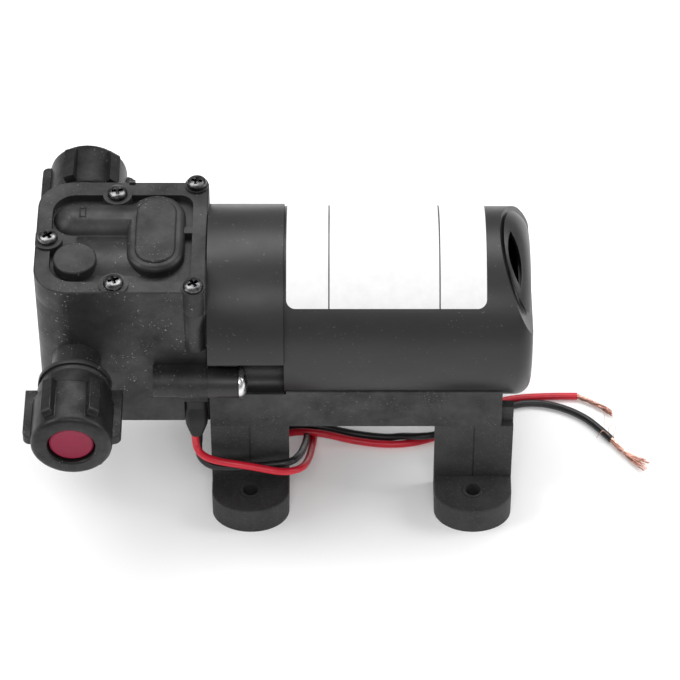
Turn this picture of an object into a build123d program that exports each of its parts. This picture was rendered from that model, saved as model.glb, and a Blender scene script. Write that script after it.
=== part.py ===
from build123d import *
import math
import os

# Twelve volt diaphragm water pump for a caravan or a camper. Millimetres.
# The origin is the middle of the four foot holes, on the surface that the feet stand on.
# X runs from the pump head to the free end of the motor, Z is up, and -Y is the near side.

# Running and fitting clearances
FIT = 0.1
RUN = 0.04
SEAT = 0.02

# Main stations
AXIS_Z = 64.5
HEAD_LEFT = -102.5
SEAM_X = -48.6
SLEEVE_LENGTH = 23.9
JACKET_LENGTH = 78.2

# Pump head
HEAD_HALF_WIDTH = 24.4
HEAD_BOTTOM = 34.2
TRAY_TOP = 42.8
DECK_Z = 84.1
COVER_THICK = 9.2
COVER_EDGE_ROUND = 0.6
HEAD_CORNER = 11.0
SEAM_CORNER = 0.8
COLUMN_RADIUS = 3.7
COLUMN_FOOT_Z = 68.0
PUMP_X = -64.8
CRANK_HALF_LENGTH = 10.6
CRANK_HALF_WIDTH = 19.0
CRANK_FLOOR = 46.0
DIAPHRAGM_LEDGE = 4.2
CRANK_DOOR_RADIUS = 16.0

# Diaphragm, its clamp and the valve plate above it
DIAPHRAGM_RADIUS = 14.2
DIAPHRAGM_THICK = 1.2
DIAPHRAGM_FREE_RADIUS = 12.2
CLAMP_RADIUS = 7.5
CLAMP_THICK = 0.8
PLATE_THICK = 4.4
PLATE_DISH = 2.4
PLATE_LEFT = -95.0
PLATE_RIGHT = -50.9
PLATE_HALF_WIDTH = 14.6
PLATE_CORNER = 5.0
GASKET_THICK = 0.8
GASKET_MARGIN = 2.0
GASKET_LAND = 7.0
GASKET_BRIDGE = 2.4
VALVE_Y = 7.4
VALVE_RADIUS = 4.2
VALVE_THICK = 0.8
VALVE_STEM_RADIUS = 1.1
VALVE_PORT_RADIUS = 3.2
VALVE_SPRING_WIRE = 0.3
VALVE_SPRING_RADIUS = 1.9
VALVE_CLIP_RADIUS = 2.4
VALVE_CLIP_THICK = 0.4
VALVE_SPRING_ROOM = 0.9
VALVE_SPRING_TURNS = 1
VALVE_HOLE_RADIUS = 0.8
SPRING_GAP = 0.05

# Crank
CRANK_THROW = 1.6
CRANK_PIN_RADIUS = 5.0
INNER_RACE_RADIUS = 6.4
OUTER_RACE_BORE = 9.1
OUTER_RACE_RADIUS = 11.0
RACE_WIDTH = 6.0
BALL_RADIUS = 1.3
BALL_COUNT = 8
ROD_EYE_RADIUS = 13.6
ROD_EYE_WIDTH = 8.0
ROD_NECK_WIDTH = 9.0
ROD_PLATE_THICK = 2.4
ROD_SCREW_RADIUS = 1.5
ROD_SCREW_LENGTH = 6.4
ROD_SCREW_HEAD = 2.6
ROD_SCREW_HEAD_THICK = 0.35
COUNTERWEIGHT_RADIUS = 12.4
COUNTERWEIGHT_THICK = 4.0
COUNTERWEIGHT_SHOULDER = 1.2
CRANK_PIN_OVERHANG = 1.6
CRANK_SHOULDER_STEP = 0.4
CRANK_HUB_STEP = 0.8
SET_SCREW_RADIUS = 1.2

# Ports
PORT_X = -90.0
PORT_Z = 62.5
PORT_BORE = 5.0
PORT_END = 55.0
NECK_RADIUS = 7.65
NECK_END = 34.4
RING_STEPS = (11.6, 10.8)
RING_STEP_LENGTH = 1.6
SPIGOT_RADIUS = 8.9
NEAR_RISER_Y = -9.8
FAR_RISER_Y = 9.6
RISER_RADIUS = 3.2
WASHER_THICK = 1.0

# Port nuts and their recessed plugs
NUT_RADIUS = 12.7
NUT_NECK_RADIUS = 11.7
NUT_START = 38.7
NUT_SHOULDER = 43.4
NUT_END = 61.0
NUT_FACE_THICK = 3.5
NUT_MOUTH_RADIUS = 7.4
NUT_RIM_ROUND = 1.6
RIB_REACH = 15.2
RIB_WIDTH = 4.0
RIB_COUNT = 6
FAR_NUT_TURN = 9.0
PLUG_RECESS = 1.3
PLUG_FLANGE_RADIUS = 8.6
PLUG_FLANGE_THICK = 2.0
PLUG_STEM_LENGTH = 7.0

# Cover relief
POCKET_LEFT = -97.7
POCKET_RIGHT = -53.4
POCKET_NEAR = -19.7
POCKET_FAR = 18.4
POCKET_DEPTH = 2.6
POCKET_CORNER = 7.5
POCKET_RIGHT_CORNER = 4.5
DOME_HALF_WIDTH = 6.4
DOME_NEAR = -12.8
DOME_FAR = 15.4
DOME_RISE = 4.5
DOME_ROUND = 0.8
SKIRT_OFFSET = 2.7
SKIRT_RISE = 3.8
SKIRT_ROUND = 2.2
GALLERY_LEFT = -98.2
GALLERY_RADIUS = 7.4
GALLERY_RISE = 4.2
BUTTON_X = -89.7
BUTTON_Y = -10.4
BUTTON_RADIUS = 6.8
BUTTON_RISE = 3.9
BUTTON_ROUND = 0.7
WALL = 1.8
WEB_RADIUS = 16.0
WEB_RISE = 2.5
WEB_Y = -6.0
BRIDGE_Y = 2.8
BRIDGE_WIDTH = 2.6
BRIDGE_RISE = 2.6
INLET_PASSAGE = (-12.0, -6.8)
COVER_SCREWS = ((-77.5, 18.1), (-98.6, -1.6), (-77.2, -21.2), (-52.5, 22.6), (-52.5, -22.6))
SCREW_SEAT_RADIUS = 4.6
SCREW_SEAT_RISE = 0.7
SCREW_HEAD_RADIUS = 3.4
SCREW_HEAD_HEIGHT = 2.2
SCREW_HEAD_ROUND = 1.2
SCREW_SHANK_RADIUS = 1.75
SCREW_LENGTH = 22.0
RECESS_WIDTH = 0.9
RECESS_REACH = 2.1
RECESS_DEPTH = 1.4

# Through bolts
BOLT_Y = 27.5
BOLT_Z = 55.7
BOSS_RADIUS = 5.0
BOSS_STEP = 0.3
BOSS_END_X = -66.0
BOSS_STEP_X = -57.7
BOLT_SEAT_X = -39.2
BOLT_HEAD_RADIUS = 5.05
BOLT_HEAD_HEIGHT = 2.8
BOLT_HEAD_ROUND = 2.38
BOLT_SHANK_RADIUS = 2.0
BOLT_TIP_REACH = 1.2

# Pressure switch in the bottom tray
SENSE_RADIUS = 1.8
SWITCH_Y = 9.6
MEMBRANE_TOP = 49.2
MEMBRANE_RADIUS = 6.2
MEMBRANE_THICK = 1.0
GUIDE_THICK = 3.2
GUIDE_SHELF = 1.2
PLUNGER_RADIUS = 2.0
PLUNGER_HEAD_RADIUS = 3.4
PLUNGER_HEAD_THICK = 0.8
PLUNGER_TRAVEL = 0.7
SWITCH_SPRING_RADIUS = 2.7
SWITCH_SPRING_WIRE = 0.4
SWITCH_SPRING_TURNS = 2.5
SWITCH_LENGTH = 12.8
SWITCH_WIDTH = 6.5
SWITCH_HEIGHT = 3.9
SWITCH_BUTTON_RADIUS = 0.9
SWITCH_BUTTON_PROUD = 0.2
TERMINAL_INSET = 2.5
TERMINAL_WIDTH = 2.0
TERMINAL_REACH = 3.2
TERMINAL_RISE = 1.2
TERMINAL_THICK = 0.5
TRAY_WALL = 2.4
TRAY_FLOOR = 2.0
TRAY_POST_RADIUS = 3.6
TRAY_SCREWS = ((-95.0, -18.0), (-95.0, 18.4), (-62.0, -19.0), (-53.5, 19.0))
TRAY_SCREW_RADIUS = 1.4
TRAY_SCREW_HEAD = 2.6
TRAY_SCREW_LENGTH = 13.0
TRAY_SCREW_SEAT = 1.8
TRAY_SCREW_SUNK = 0.2

# Gland and leads
GLAND_X = -53.0
GLAND_WIDTH = 7.2
GLAND_DEPTH = 6.6
GLAND_TIP_WIDTH = 4.2
GLAND_TIP_DEPTH = 5.9
GLAND_TOP = 43.0
GLAND_TIP_Z = 30.0
GLAND_INSET = 1.0
GLAND_TIP_PROUD = 0.6
LEAD_RADIUS = 1.2
STRAND_RADIUS = 0.85

# Adapter sleeve
SLEEVE_RADIUS = 30.75
SLEEVE_WALL = 3.0
SLEEVE_FACE_THICK = 3.0
PARTITION_X = -34.6
PARTITION_THICK = 3.4
CHANNEL_WALL = 1.3
CHANNEL_CLEAR = 0.3
CHANNEL_TILT = 47.0

# Motor
CAN_FRONT = -31.0
CAN_BACK_INSET = 13.5
CAN_RADIUS = 21.8
CAN_WALL = 1.2
CAN_NOSE_RADIUS = 8.4
CAN_NOSE_LENGTH = 3.4
SHAFT_RADIUS = 2.5
SHAFT_LEFT = -70.2
SHAFT_END_INSET = 7.0
FRONT_BEARING_RADIUS = 7.2
FRONT_BEARING_WIDTH = 5.0
REAR_BUSH_RADIUS = 5.0
REAR_BUSH_WIDTH = 4.6
CORE_LEFT = -16.0
CORE_TO_COMMUTATOR = 6.6
CORE_RADIUS = 17.2
SLOT_COUNT = 5
SLOT_INNER = 8.0
SLOT_OUTER = 15.4
SLOT_ANGLE = 40.0
SLOT_MOUTH = 6.0
COIL_END_LENGTH = 5.4
COIL_GAP = 0.15
COIL_CLEAR_ANGLE = 2.0
COMMUTATOR_RADIUS = 6.4
COMMUTATOR_LENGTH = 8.0
COMMUTATOR_SETBACK = 11.4
COLLAR_LEFT = 0.6
COLLAR_RIGHT = 0.8
COLLAR_STEP = 1.2
MAGNET_THICK = 2.5
MAGNET_GAP = 0.05
MAGNET_ARC = 130.0
MAGNET_OVERHANG = 4.0
END_PLATE_THICK = 3.6
END_PLATE_LIP = 2.0
BUSH_HUB_LENGTH = 2.4
BUSH_HUB_WALL = 2.0
BUSH_SETBACK = 0.6
HOLDER_GAP = 1.6
BRUSH_WIDTH = 4.0
BRUSH_LENGTH = 7.0
BRUSH_SPRING_RADIUS = 1.5
BRUSH_SPRING_WIRE = 0.4
BRUSH_SPRING_TURNS = 4
BRUSH_SPRING_LENGTH = 4.4
HOLDER_WALL = 1.2
MOTOR_SCREW_OFFSET = 13.5
MOTOR_SCREW_RADIUS = 1.5
MOTOR_SCREW_HEAD = 2.8
MOTOR_SCREW_LENGTH = 5.6
MOTOR_SCREW_THICK = 1.8

# Jacket and its vented end
JACKET_RADIUS = 30.0
JACKET_WALL = 2.6
JACKET_ROUND = 5.0
JACKET_RIBS = 8
JACKET_RIB_WIDTH = 1.8
SLANT_OVERHANG = 5.1
SLANT_RUN = 15.5
SLANT_REACH = 60.0
GROOVE_WIDTH = 1.0
DOME_END_INSET = 0.5
DOME_END_ROUND = 9.0
DOME_END_WALL = 2.6
DOME_LIP = 7.0
DOME_LIP_THICK = 1.8
DOME_LIP_HOLD = 1.4
VENT_INSET = 5.6
VENT_LENGTH = 19.6
VENT_SLANT = 2.8
VENT_LEFT_BULGE = 2.2
VENT_RIGHT_BULGE = 1.5
VENT_MIDDLE = 15.3
VENT_DEPTH = 10.0

# Label
LABEL_LEFT = -23.8
LABEL_END_INSET = 14.8
LABEL_NEAR_ANGLE = 49.0
LABEL_FAR_ANGLE = -52.0
LABEL_THICK = 0.18
LABEL_CORNER = 2.9

# Cradle and feet
FOOT_SPACING_X = 72.0
FOOT_SPACING_Y = 66.0
FOOT_WIDTH = 25.0
FOOT_HOLE_RADIUS = 2.5
FOOT_RING_RADIUS = 3.3
FOOT_RING_HEIGHT = 0.4
PAD_THICK = 9.8
PAD_REACH = 9.4
LEG_INNER_Y = 21.0
LEG_OUTER_Y = 27.0
RAIL_TOP = 50.8
RAIL_LAP = 0.45
RAIL_RIGHT = 44.6
RAIL_INNER_Y = 12.0
SADDLE_CLEAR = 0.2
STRAP_THICK = 3.0
CRADLE_SCREW_X = (-36.0, 33.0)
CRADLE_SCREW_RADIUS = 1.5
CRADLE_SCREW_HEAD = 2.8
CRADLE_SCREW_GRIP = 2.2
CRADLE_SCREW_SPARE = 0.6
CRADLE_SCREW_THICK = 1.8
TONGUE_INNER_Y = 21.8
TONGUE_OUTER_Y = 24.8
TONGUE_HEIGHT = 6.6
SEAM_GROOVE = 0.5
SEAM_GROOVE_DEPTH = 0.35
PAD_EDGE_ROUND = 0.5
RAIL_EDGE_ROUND = 0.8

sleeve_right = SEAM_X + SLEEVE_LENGTH
jacket_right = sleeve_right + JACKET_LENGTH
slant_at_axis = jacket_right + SLANT_OVERHANG
vent_x = jacket_right - VENT_INSET
label_right = jacket_right - LABEL_END_INSET
can_back = jacket_right - CAN_BACK_INSET
shaft_right = jacket_right - SHAFT_END_INSET
commutator_left = can_back - COMMUTATOR_SETBACK
core_length = commutator_left - CORE_TO_COMMUTATOR - CORE_LEFT
magnet_length = core_length + 2 * MAGNET_OVERHANG
rail_bottom = AXIS_Z - max(SLEEVE_RADIUS, JACKET_RADIUS) + RAIL_LAP
crank_z = AXIS_Z + CRANK_THROW
diaphragm_bottom = DECK_Z - DIAPHRAGM_THICK
plate_top = DECK_Z + PLATE_THICK
dish_roof = DECK_Z + PLATE_DISH
ceiling_z = plate_top + GASKET_THICK
cover_top = DECK_Z + COVER_THICK
pocket_floor = cover_top - POCKET_DEPTH
dome_top = pocket_floor + DOME_RISE
skirt_top = pocket_floor + SKIRT_RISE
gallery_top = pocket_floor + GALLERY_RISE
button_top = pocket_floor + BUTTON_RISE
screw_seat_top = cover_top + SCREW_SEAT_RISE
crank_roof = DECK_Z - DIAPHRAGM_LEDGE
gallery_y = FAR_RISER_Y
gland_top_y = GLAND_INSET - HEAD_HALF_WIDTH
gland_tip_y = -HEAD_HALF_WIDTH - GLAND_TIP_PROUD
tray_seat_z = HEAD_BOTTOM + TRAY_SCREW_SEAT
guide_top = MEMBRANE_TOP - MEMBRANE_THICK
plunger_foot = HEAD_BOTTOM + TRAY_FLOOR + SWITCH_HEIGHT + PLUNGER_TRAVEL + SWITCH_BUTTON_PROUD

os.makedirs("parts", exist_ok=True)


def save(shape, name):
    """Write one named sub-part."""
    shape.label = name
    export_step(shape, f"parts/{name}.step")


def rod_x(x0, x1, radius, y=0.0, z=AXIS_Z):
    length = x1 - x0
    return Pos(x0 + length / 2, y, z) * Rot(0, 90, 0) * Cylinder(radius, length)


def rod_y(y0, y1, radius, x, z):
    length = y1 - y0
    return Pos(x, y0 + length / 2, z) * Rot(90, 0, 0) * Cylinder(radius, length)


def rod_z(z0, z1, radius, x, y):
    length = z1 - z0
    return Pos(x, y, z0 + length / 2) * Cylinder(radius, length)


def block(x0, x1, y0, y1, z0, z1):
    middle = Pos((x0 + x1) / 2, (y0 + y1) / 2, (z0 + z1) / 2)
    return middle * Box(x1 - x0, y1 - y0, z1 - z0)


def sector_x(x0, x1, r0, r1, angle, arc):
    """A piece of a ring round the motor axis; angle 0 is the top, and positive is the near side."""
    size = Plane.XZ * Pos((x0 + x1) / 2, (r0 + r1) / 2) * Rectangle(x1 - x0, r1 - r0)
    piece = revolve(size, axis=Axis.X, revolution_arc=arc)
    return Pos(0, 0, AXIS_Z) * Rot(angle, 0, 0) * piece


def rounded_slab(x0, x1, y0, y1, z0, z1, left_round, right_round):
    """A flat block whose two left and two right upright corners have their own radii."""
    slab = block(x0, x1, y0, y1, z0, z1)
    uprights = slab.edges().filter_by(Axis.Z).sort_by(Axis.X)
    slab = fillet(uprights[:2], left_round)
    uprights = slab.edges().filter_by(Axis.Z).sort_by(Axis.X)
    return fillet(uprights[-2:], right_round) if right_round > 0 else slab


def coil(x, y, z0, z1, radius, wire, turns):
    """A round wire spring standing along Z."""
    height = z1 - z0 - 2 * wire
    path = Helix(pitch=height / turns, height=height, radius=radius)
    section = Plane(origin=path @ 0, z_dir=path % 0) * Circle(wire)
    return Pos(x, y, z0 + wire) * sweep(section, path=path, is_frenet=True)


def head_body():
    """Moulded body: crank chamber, port necks, risers, switch pocket and bolt bosses."""
    body = rounded_slab(
        HEAD_LEFT, SEAM_X, -HEAD_HALF_WIDTH, HEAD_HALF_WIDTH, TRAY_TOP, DECK_Z, HEAD_CORNER, SEAM_CORNER
    )
    for side in (-1, 1):
        body += rod_z(COLUMN_FOOT_Z, DECK_Z, COLUMN_RADIUS, COVER_SCREWS[4][0], side * COVER_SCREWS[3][1])
        body += side_port(side)
        body += bolt_boss(BOSS_STEP_X, SEAM_X, BOSS_RADIUS, side)
        body += bolt_boss(BOSS_END_X, BOSS_STEP_X, BOSS_RADIUS - BOSS_STEP, side)
    body -= crank_chamber()
    for side, riser_y in ((-1, NEAR_RISER_Y), (1, FAR_RISER_Y)):
        passage_end = side * (PORT_END + 1)
        low, high = sorted((riser_y, passage_end))
        body -= rod_y(low, high, PORT_BORE, PORT_X, PORT_Z)
        body -= rod_z(PORT_Z, DECK_Z + 1, RISER_RADIUS, PORT_X, riser_y)
        body -= rod_x(BOSS_END_X - 1, SEAM_X + 1, BOLT_SHANK_RADIUS + FIT, side * BOLT_Y, BOLT_Z)
    body -= rod_z(TRAY_TOP - 1, PORT_Z, SENSE_RADIUS, PORT_X, SWITCH_Y)
    body -= rod_z(TRAY_TOP - 1, MEMBRANE_TOP, MEMBRANE_RADIUS + FIT, PORT_X, SWITCH_Y)
    for x, y in COVER_SCREWS:
        bottom = screw_seat_top - SCREW_LENGTH - 1
        body -= rod_z(bottom, DECK_Z + 1, SCREW_SHANK_RADIUS + FIT, x, y)
    for x, y in TRAY_SCREWS:
        body -= rod_z(TRAY_TOP - 1, HEAD_BOTTOM + TRAY_SCREW_LENGTH + 3, TRAY_SCREW_RADIUS + FIT, x, y)
    body -= gland_notch()
    return body


def side_port(side):
    """Neck, stepped ring and threaded spigot of one port."""
    spans = [(HEAD_HALF_WIDTH - 1, NECK_END, NECK_RADIUS)]
    start = NECK_END
    for radius in RING_STEPS:
        spans.append((start, start + RING_STEP_LENGTH, radius))
        start += RING_STEP_LENGTH
    spans.append((start, PORT_END, SPIGOT_RADIUS))
    port = None
    for near, far, radius in spans:
        low, high = sorted((side * near, side * far))
        piece = rod_y(low, high, radius, PORT_X, PORT_Z)
        port = piece if port is None else port + piece
    return port


def bolt_boss(x0, x1, radius, side):
    """Half-round boss on the side of the head, with the web that joins it to the wall."""
    boss = rod_x(x0, x1, radius, side * BOLT_Y, BOLT_Z)
    low, high = sorted((side * (HEAD_HALF_WIDTH - 2), side * BOLT_Y))
    return boss + block(x0, x1, low, high, BOLT_Z - radius, BOLT_Z + radius)


def crank_chamber():
    room = block(
        PUMP_X - CRANK_HALF_LENGTH, PUMP_X + CRANK_HALF_LENGTH, -CRANK_HALF_WIDTH, CRANK_HALF_WIDTH,
        CRANK_FLOOR, crank_roof,
    )
    room += rod_z(crank_roof - 1, DECK_Z, DIAPHRAGM_FREE_RADIUS, PUMP_X, 0)
    room += rod_z(diaphragm_bottom, DECK_Z + 1, DIAPHRAGM_RADIUS + FIT, PUMP_X, 0)
    return room + rod_x(PUMP_X, SEAM_X + 1, CRANK_DOOR_RADIUS)


def gland_notch():
    half = GLAND_WIDTH / 2 + FIT
    back = gland_top_y + GLAND_DEPTH / 2 + FIT
    return block(GLAND_X - half, GLAND_X + half, -HEAD_HALF_WIDTH - 9, back, HEAD_BOTTOM - 1, GLAND_TOP)


def bottom_tray():
    """Tray under the head that closes the switch chamber."""
    tray = rounded_slab(
        HEAD_LEFT, SEAM_X, -HEAD_HALF_WIDTH, HEAD_HALF_WIDTH, HEAD_BOTTOM, TRAY_TOP, HEAD_CORNER, SEAM_CORNER
    )
    tray -= rounded_slab(
        HEAD_LEFT + TRAY_WALL, SEAM_X - TRAY_WALL, -HEAD_HALF_WIDTH + TRAY_WALL, HEAD_HALF_WIDTH - TRAY_WALL,
        HEAD_BOTTOM + TRAY_FLOOR, TRAY_TOP + 1, HEAD_CORNER - TRAY_WALL, SEAM_CORNER,
    )
    for x, y in TRAY_SCREWS:
        tray += rod_z(HEAD_BOTTOM, TRAY_TOP, TRAY_POST_RADIUS, x, y)
    for x, y in TRAY_SCREWS:
        tray -= rod_z(HEAD_BOTTOM - 1, TRAY_TOP + 1, TRAY_SCREW_RADIUS + FIT, x, y)
        tray -= rod_z(HEAD_BOTTOM - 1, tray_seat_z, TRAY_SCREW_HEAD + FIT, x, y)
    return tray - gland_notch()


def tray_screws():
    screws = []
    face_z = HEAD_BOTTOM + TRAY_SCREW_SUNK
    for x, y in TRAY_SCREWS:
        screw = rod_z(face_z, tray_seat_z, TRAY_SCREW_HEAD, x, y)
        screw += rod_z(tray_seat_z, HEAD_BOTTOM + TRAY_SCREW_LENGTH, TRAY_SCREW_RADIUS, x, y)
        screw -= cross_recess(x, y, face_z, -1, RECESS_DEPTH / 2, 0.5)
        screws.append(screw)
    return Compound(children=screws)


def cross_recess(x, y, face_z, up, depth, scale=1.0):
    """Cutter for a cross drive in a screw face; up is the way the face looks."""
    reach = RECESS_REACH * scale
    half = RECESS_WIDTH * scale / 2
    low, high = sorted((face_z + up, face_z - up * depth))
    bar = block(x - reach, x + reach, y - half, y + half, low, high)
    return bar + block(x - half, x + half, y - reach, y + reach, low, high)


def dome_outline(offset, height, base):
    """Upright stadium prism along Y at the dome's place."""
    width = 2 * (DOME_HALF_WIDTH + offset)
    length = DOME_FAR - DOME_NEAR + 2 * offset
    outline = Plane(origin=(PUMP_X, (DOME_NEAR + DOME_FAR) / 2, base)) * SlotOverall(length, width, 90)
    return extrude(outline, height)


def head_cover():
    """Top cover with its rim, sunken pocket, domes and screw seats."""
    cover = rounded_slab(
        HEAD_LEFT, SEAM_X, -HEAD_HALF_WIDTH, HEAD_HALF_WIDTH, DECK_Z, cover_top, HEAD_CORNER, SEAM_CORNER
    )
    cover = fillet(cover.faces().sort_by(Axis.Z)[-1].edges(), COVER_EDGE_ROUND)
    cover -= rounded_slab(
        POCKET_LEFT, POCKET_RIGHT, POCKET_NEAR, POCKET_FAR, pocket_floor, cover_top + 1, POCKET_CORNER,
        POCKET_RIGHT_CORNER,
    )
    for x, y in COVER_SCREWS[3:]:
        cover += rod_z(DECK_Z, screw_seat_top, COLUMN_RADIUS, x, y)
    for x, y in COVER_SCREWS[:3]:
        cover += rod_z(pocket_floor - 1, screw_seat_top, SCREW_SEAT_RADIUS, x, y) & block(
            HEAD_LEFT, SEAM_X, -HEAD_HALF_WIDTH, HEAD_HALF_WIDTH, DECK_Z, screw_seat_top
        )
    skirt = dome_outline(SKIRT_OFFSET, skirt_top - pocket_floor + 1, pocket_floor - 1)
    skirt = fillet(skirt.faces().sort_by(Axis.Z)[-1].edges(), SKIRT_ROUND)
    dome = dome_outline(0, dome_top - pocket_floor + 1, pocket_floor - 1)
    dome = fillet(dome.faces().sort_by(Axis.Z)[-1].edges(), DOME_ROUND)
    button = rod_z(pocket_floor - 1, button_top, BUTTON_RADIUS, BUTTON_X, BUTTON_Y)
    button = fillet(button.faces().sort_by(Axis.Z)[-1].edges(), BUTTON_ROUND)
    cover += skirt + dome + button + gallery(0, pocket_floor - 1) + web() + bridge()
    cover -= hollows()
    for x, y in COVER_SCREWS:
        cover -= rod_z(DECK_Z - 1, screw_seat_top + 1, SCREW_SHANK_RADIUS + FIT, x, y)
    return cover


def gallery(inset, base):
    """Half-round delivery passage lying along X, with a ball end."""
    radius = GALLERY_RADIUS - inset
    middle_z = gallery_top - GALLERY_RADIUS
    left = GALLERY_LEFT + GALLERY_RADIUS
    tube = rod_x(left, PUMP_X - 1, radius, gallery_y, middle_z)
    tube += Pos(left, gallery_y, middle_z) * Sphere(radius)
    return tube & block(HEAD_LEFT, SEAM_X, -HEAD_HALF_WIDTH, HEAD_HALF_WIDTH, base, dome_top)


def web():
    """Low barrel between the round dome and the stadium dome, over the inlet passage."""
    barrel = rod_x(BUTTON_X, PUMP_X, WEB_RADIUS, WEB_Y, pocket_floor + WEB_RISE - WEB_RADIUS)
    return barrel & block(HEAD_LEFT, SEAM_X, POCKET_NEAR, POCKET_FAR, pocket_floor - 1, cover_top)


def bridge():
    """Small rib that ties the skirt of the stadium dome to the rim."""
    half = BRIDGE_WIDTH / 2
    low = pocket_floor - 1
    high = pocket_floor + BRIDGE_RISE
    return block(PUMP_X, POCKET_RIGHT + 1, BRIDGE_Y - half, BRIDGE_Y + half, low, high)


def hollows():
    """Plate seat, and the inlet and delivery passages inside the domes."""
    room = rounded_slab(
        PLATE_LEFT - FIT, PLATE_RIGHT + FIT, -PLATE_HALF_WIDTH - FIT, PLATE_HALF_WIDTH + FIT,
        DECK_Z - 1, ceiling_z, PLATE_CORNER, PLATE_CORNER,
    )
    depth = dome_top - WALL - ceiling_z + 1
    chamber = dome_outline(-WALL, depth, ceiling_z - 1)
    divider = block(PUMP_X - 20, PUMP_X + 20, -WALL / 2, WALL / 2, ceiling_z, dome_top)
    room += chamber - divider
    room += gallery(WALL, ceiling_z - 1) & block(HEAD_LEFT, PUMP_X - 1, 0, HEAD_HALF_WIDTH, DECK_Z, dome_top)
    room += rod_z(ceiling_z - 1, button_top - WALL, BUTTON_RADIUS - WALL, BUTTON_X, BUTTON_Y)
    passage_top = pocket_floor + WEB_RISE - WALL
    room += block(BUTTON_X, PUMP_X - 1, *INLET_PASSAGE, ceiling_z - 1, passage_top)
    return room


def cover_screws():
    screws = []
    for x, y in COVER_SCREWS:
        head = rod_z(screw_seat_top, screw_seat_top + SCREW_HEAD_HEIGHT, SCREW_HEAD_RADIUS, x, y)
        head = fillet(head.faces().sort_by(Axis.Z)[-1].edges(), SCREW_HEAD_ROUND)
        shank_top = screw_seat_top + 0.1
        screw = head + rod_z(screw_seat_top - SCREW_LENGTH, shank_top, SCREW_SHANK_RADIUS, x, y)
        screw -= cross_recess(x, y, screw_seat_top + SCREW_HEAD_HEIGHT, 1, RECESS_DEPTH)
        screws.append(screw)
    return Compound(children=screws)


def cover_gasket():
    """Rubber gasket with an inlet window and a delivery window."""
    gasket = rounded_slab(
        PLATE_LEFT, PLATE_RIGHT, -PLATE_HALF_WIDTH, PLATE_HALF_WIDTH, plate_top, ceiling_z, PLATE_CORNER,
        PLATE_CORNER,
    )
    edge = PLATE_HALF_WIDTH - GASKET_MARGIN
    left = PLATE_LEFT + GASKET_MARGIN
    for low, high in ((-edge, -GASKET_BRIDGE / 2), (GASKET_BRIDGE / 2, edge)):
        gasket -= block(left, PLATE_RIGHT - GASKET_LAND, low, high, plate_top - 1, ceiling_z + 1)
    return gasket


def valve_seat_ports(y):
    """Four round ports about a valve stem."""
    ports = None
    for turn in range(4):
        angle = math.radians(45 + 90 * turn)
        reach = VALVE_PORT_RADIUS - VALVE_HOLE_RADIUS
        x = PUMP_X + reach * math.cos(angle)
        hole = rod_z(DECK_Z, plate_top + 1, VALVE_HOLE_RADIUS, x, y + reach * math.sin(angle))
        ports = hole if ports is None else ports + hole
    return ports


def valve_plate():
    plate = rounded_slab(
        PLATE_LEFT, PLATE_RIGHT, -PLATE_HALF_WIDTH, PLATE_HALF_WIDTH, DECK_Z, plate_top, PLATE_CORNER,
        PLATE_CORNER,
    )
    plate -= rod_z(DECK_Z - 1, dish_roof, DIAPHRAGM_FREE_RADIUS, PUMP_X, 0)
    for y in (-VALVE_Y, VALVE_Y):
        plate -= valve_seat_ports(y)
        plate -= rod_z(DECK_Z, plate_top + 1, VALVE_STEM_RADIUS + RUN, PUMP_X, y)
    for y in (NEAR_RISER_Y, FAR_RISER_Y):
        plate -= rod_z(DECK_Z - 1, plate_top + 1, RISER_RADIUS, PORT_X, y)
    return plate


def valve(y, seat_z, away):
    """Mushroom valve; away is +1 when the disc lies above its seat and lifts up."""
    low, high = sorted((seat_z + away * SEAT, seat_z + away * (SEAT + VALVE_THICK)))
    disc = rod_z(low, high, VALVE_RADIUS, PUMP_X, y)
    thickness = plate_top - dish_roof
    tail = seat_z - away * (thickness + VALVE_SPRING_ROOM + VALVE_CLIP_THICK)
    low, high = sorted((seat_z + away * SEAT, tail))
    return disc + rod_z(low, high, VALVE_STEM_RADIUS, PUMP_X, y)


def valve_clip_gap(seat_z, away):
    """Nearest and farthest height of the clip on the stem's tail."""
    thickness = plate_top - dish_roof
    near = seat_z - away * (thickness + VALVE_SPRING_ROOM)
    return sorted((near, near - away * VALVE_CLIP_THICK))


def valve_spring(y, seat_z, away):
    thickness = plate_top - dish_roof
    low, high = sorted((seat_z - away * thickness, seat_z - away * (thickness + VALVE_SPRING_ROOM)))
    low += SPRING_GAP
    high -= SPRING_GAP
    return coil(PUMP_X, y, low, high, VALVE_SPRING_RADIUS, VALVE_SPRING_WIRE / 2, VALVE_SPRING_TURNS)


def valve_clip(y, seat_z, away):
    low, high = valve_clip_gap(seat_z, away)
    clip = rod_z(low, high, VALVE_CLIP_RADIUS, PUMP_X, y)
    return clip - rod_z(low - 1, high + 1, VALVE_STEM_RADIUS, PUMP_X, y)


def diaphragm():
    disc = rod_z(diaphragm_bottom, DECK_Z, DIAPHRAGM_RADIUS, PUMP_X, 0)
    disc -= rod_z(diaphragm_bottom - 1, DECK_Z + 1, ROD_SCREW_RADIUS + FIT, PUMP_X, 0)
    return disc


def diaphragm_clamp():
    clamp = rod_z(DECK_Z + SEAT, DECK_Z + SEAT + CLAMP_THICK, CLAMP_RADIUS, PUMP_X, 0)
    return clamp - rod_z(DECK_Z - 1, DECK_Z + 2, ROD_SCREW_RADIUS + FIT, PUMP_X, 0)


def clamp_screw():
    top = DECK_Z + SEAT + CLAMP_THICK
    screw = rod_z(top, top + ROD_SCREW_HEAD_THICK, ROD_SCREW_HEAD, PUMP_X, 0)
    return screw + rod_z(top - ROD_SCREW_LENGTH, top + 0.1, ROD_SCREW_RADIUS, PUMP_X, 0)


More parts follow.
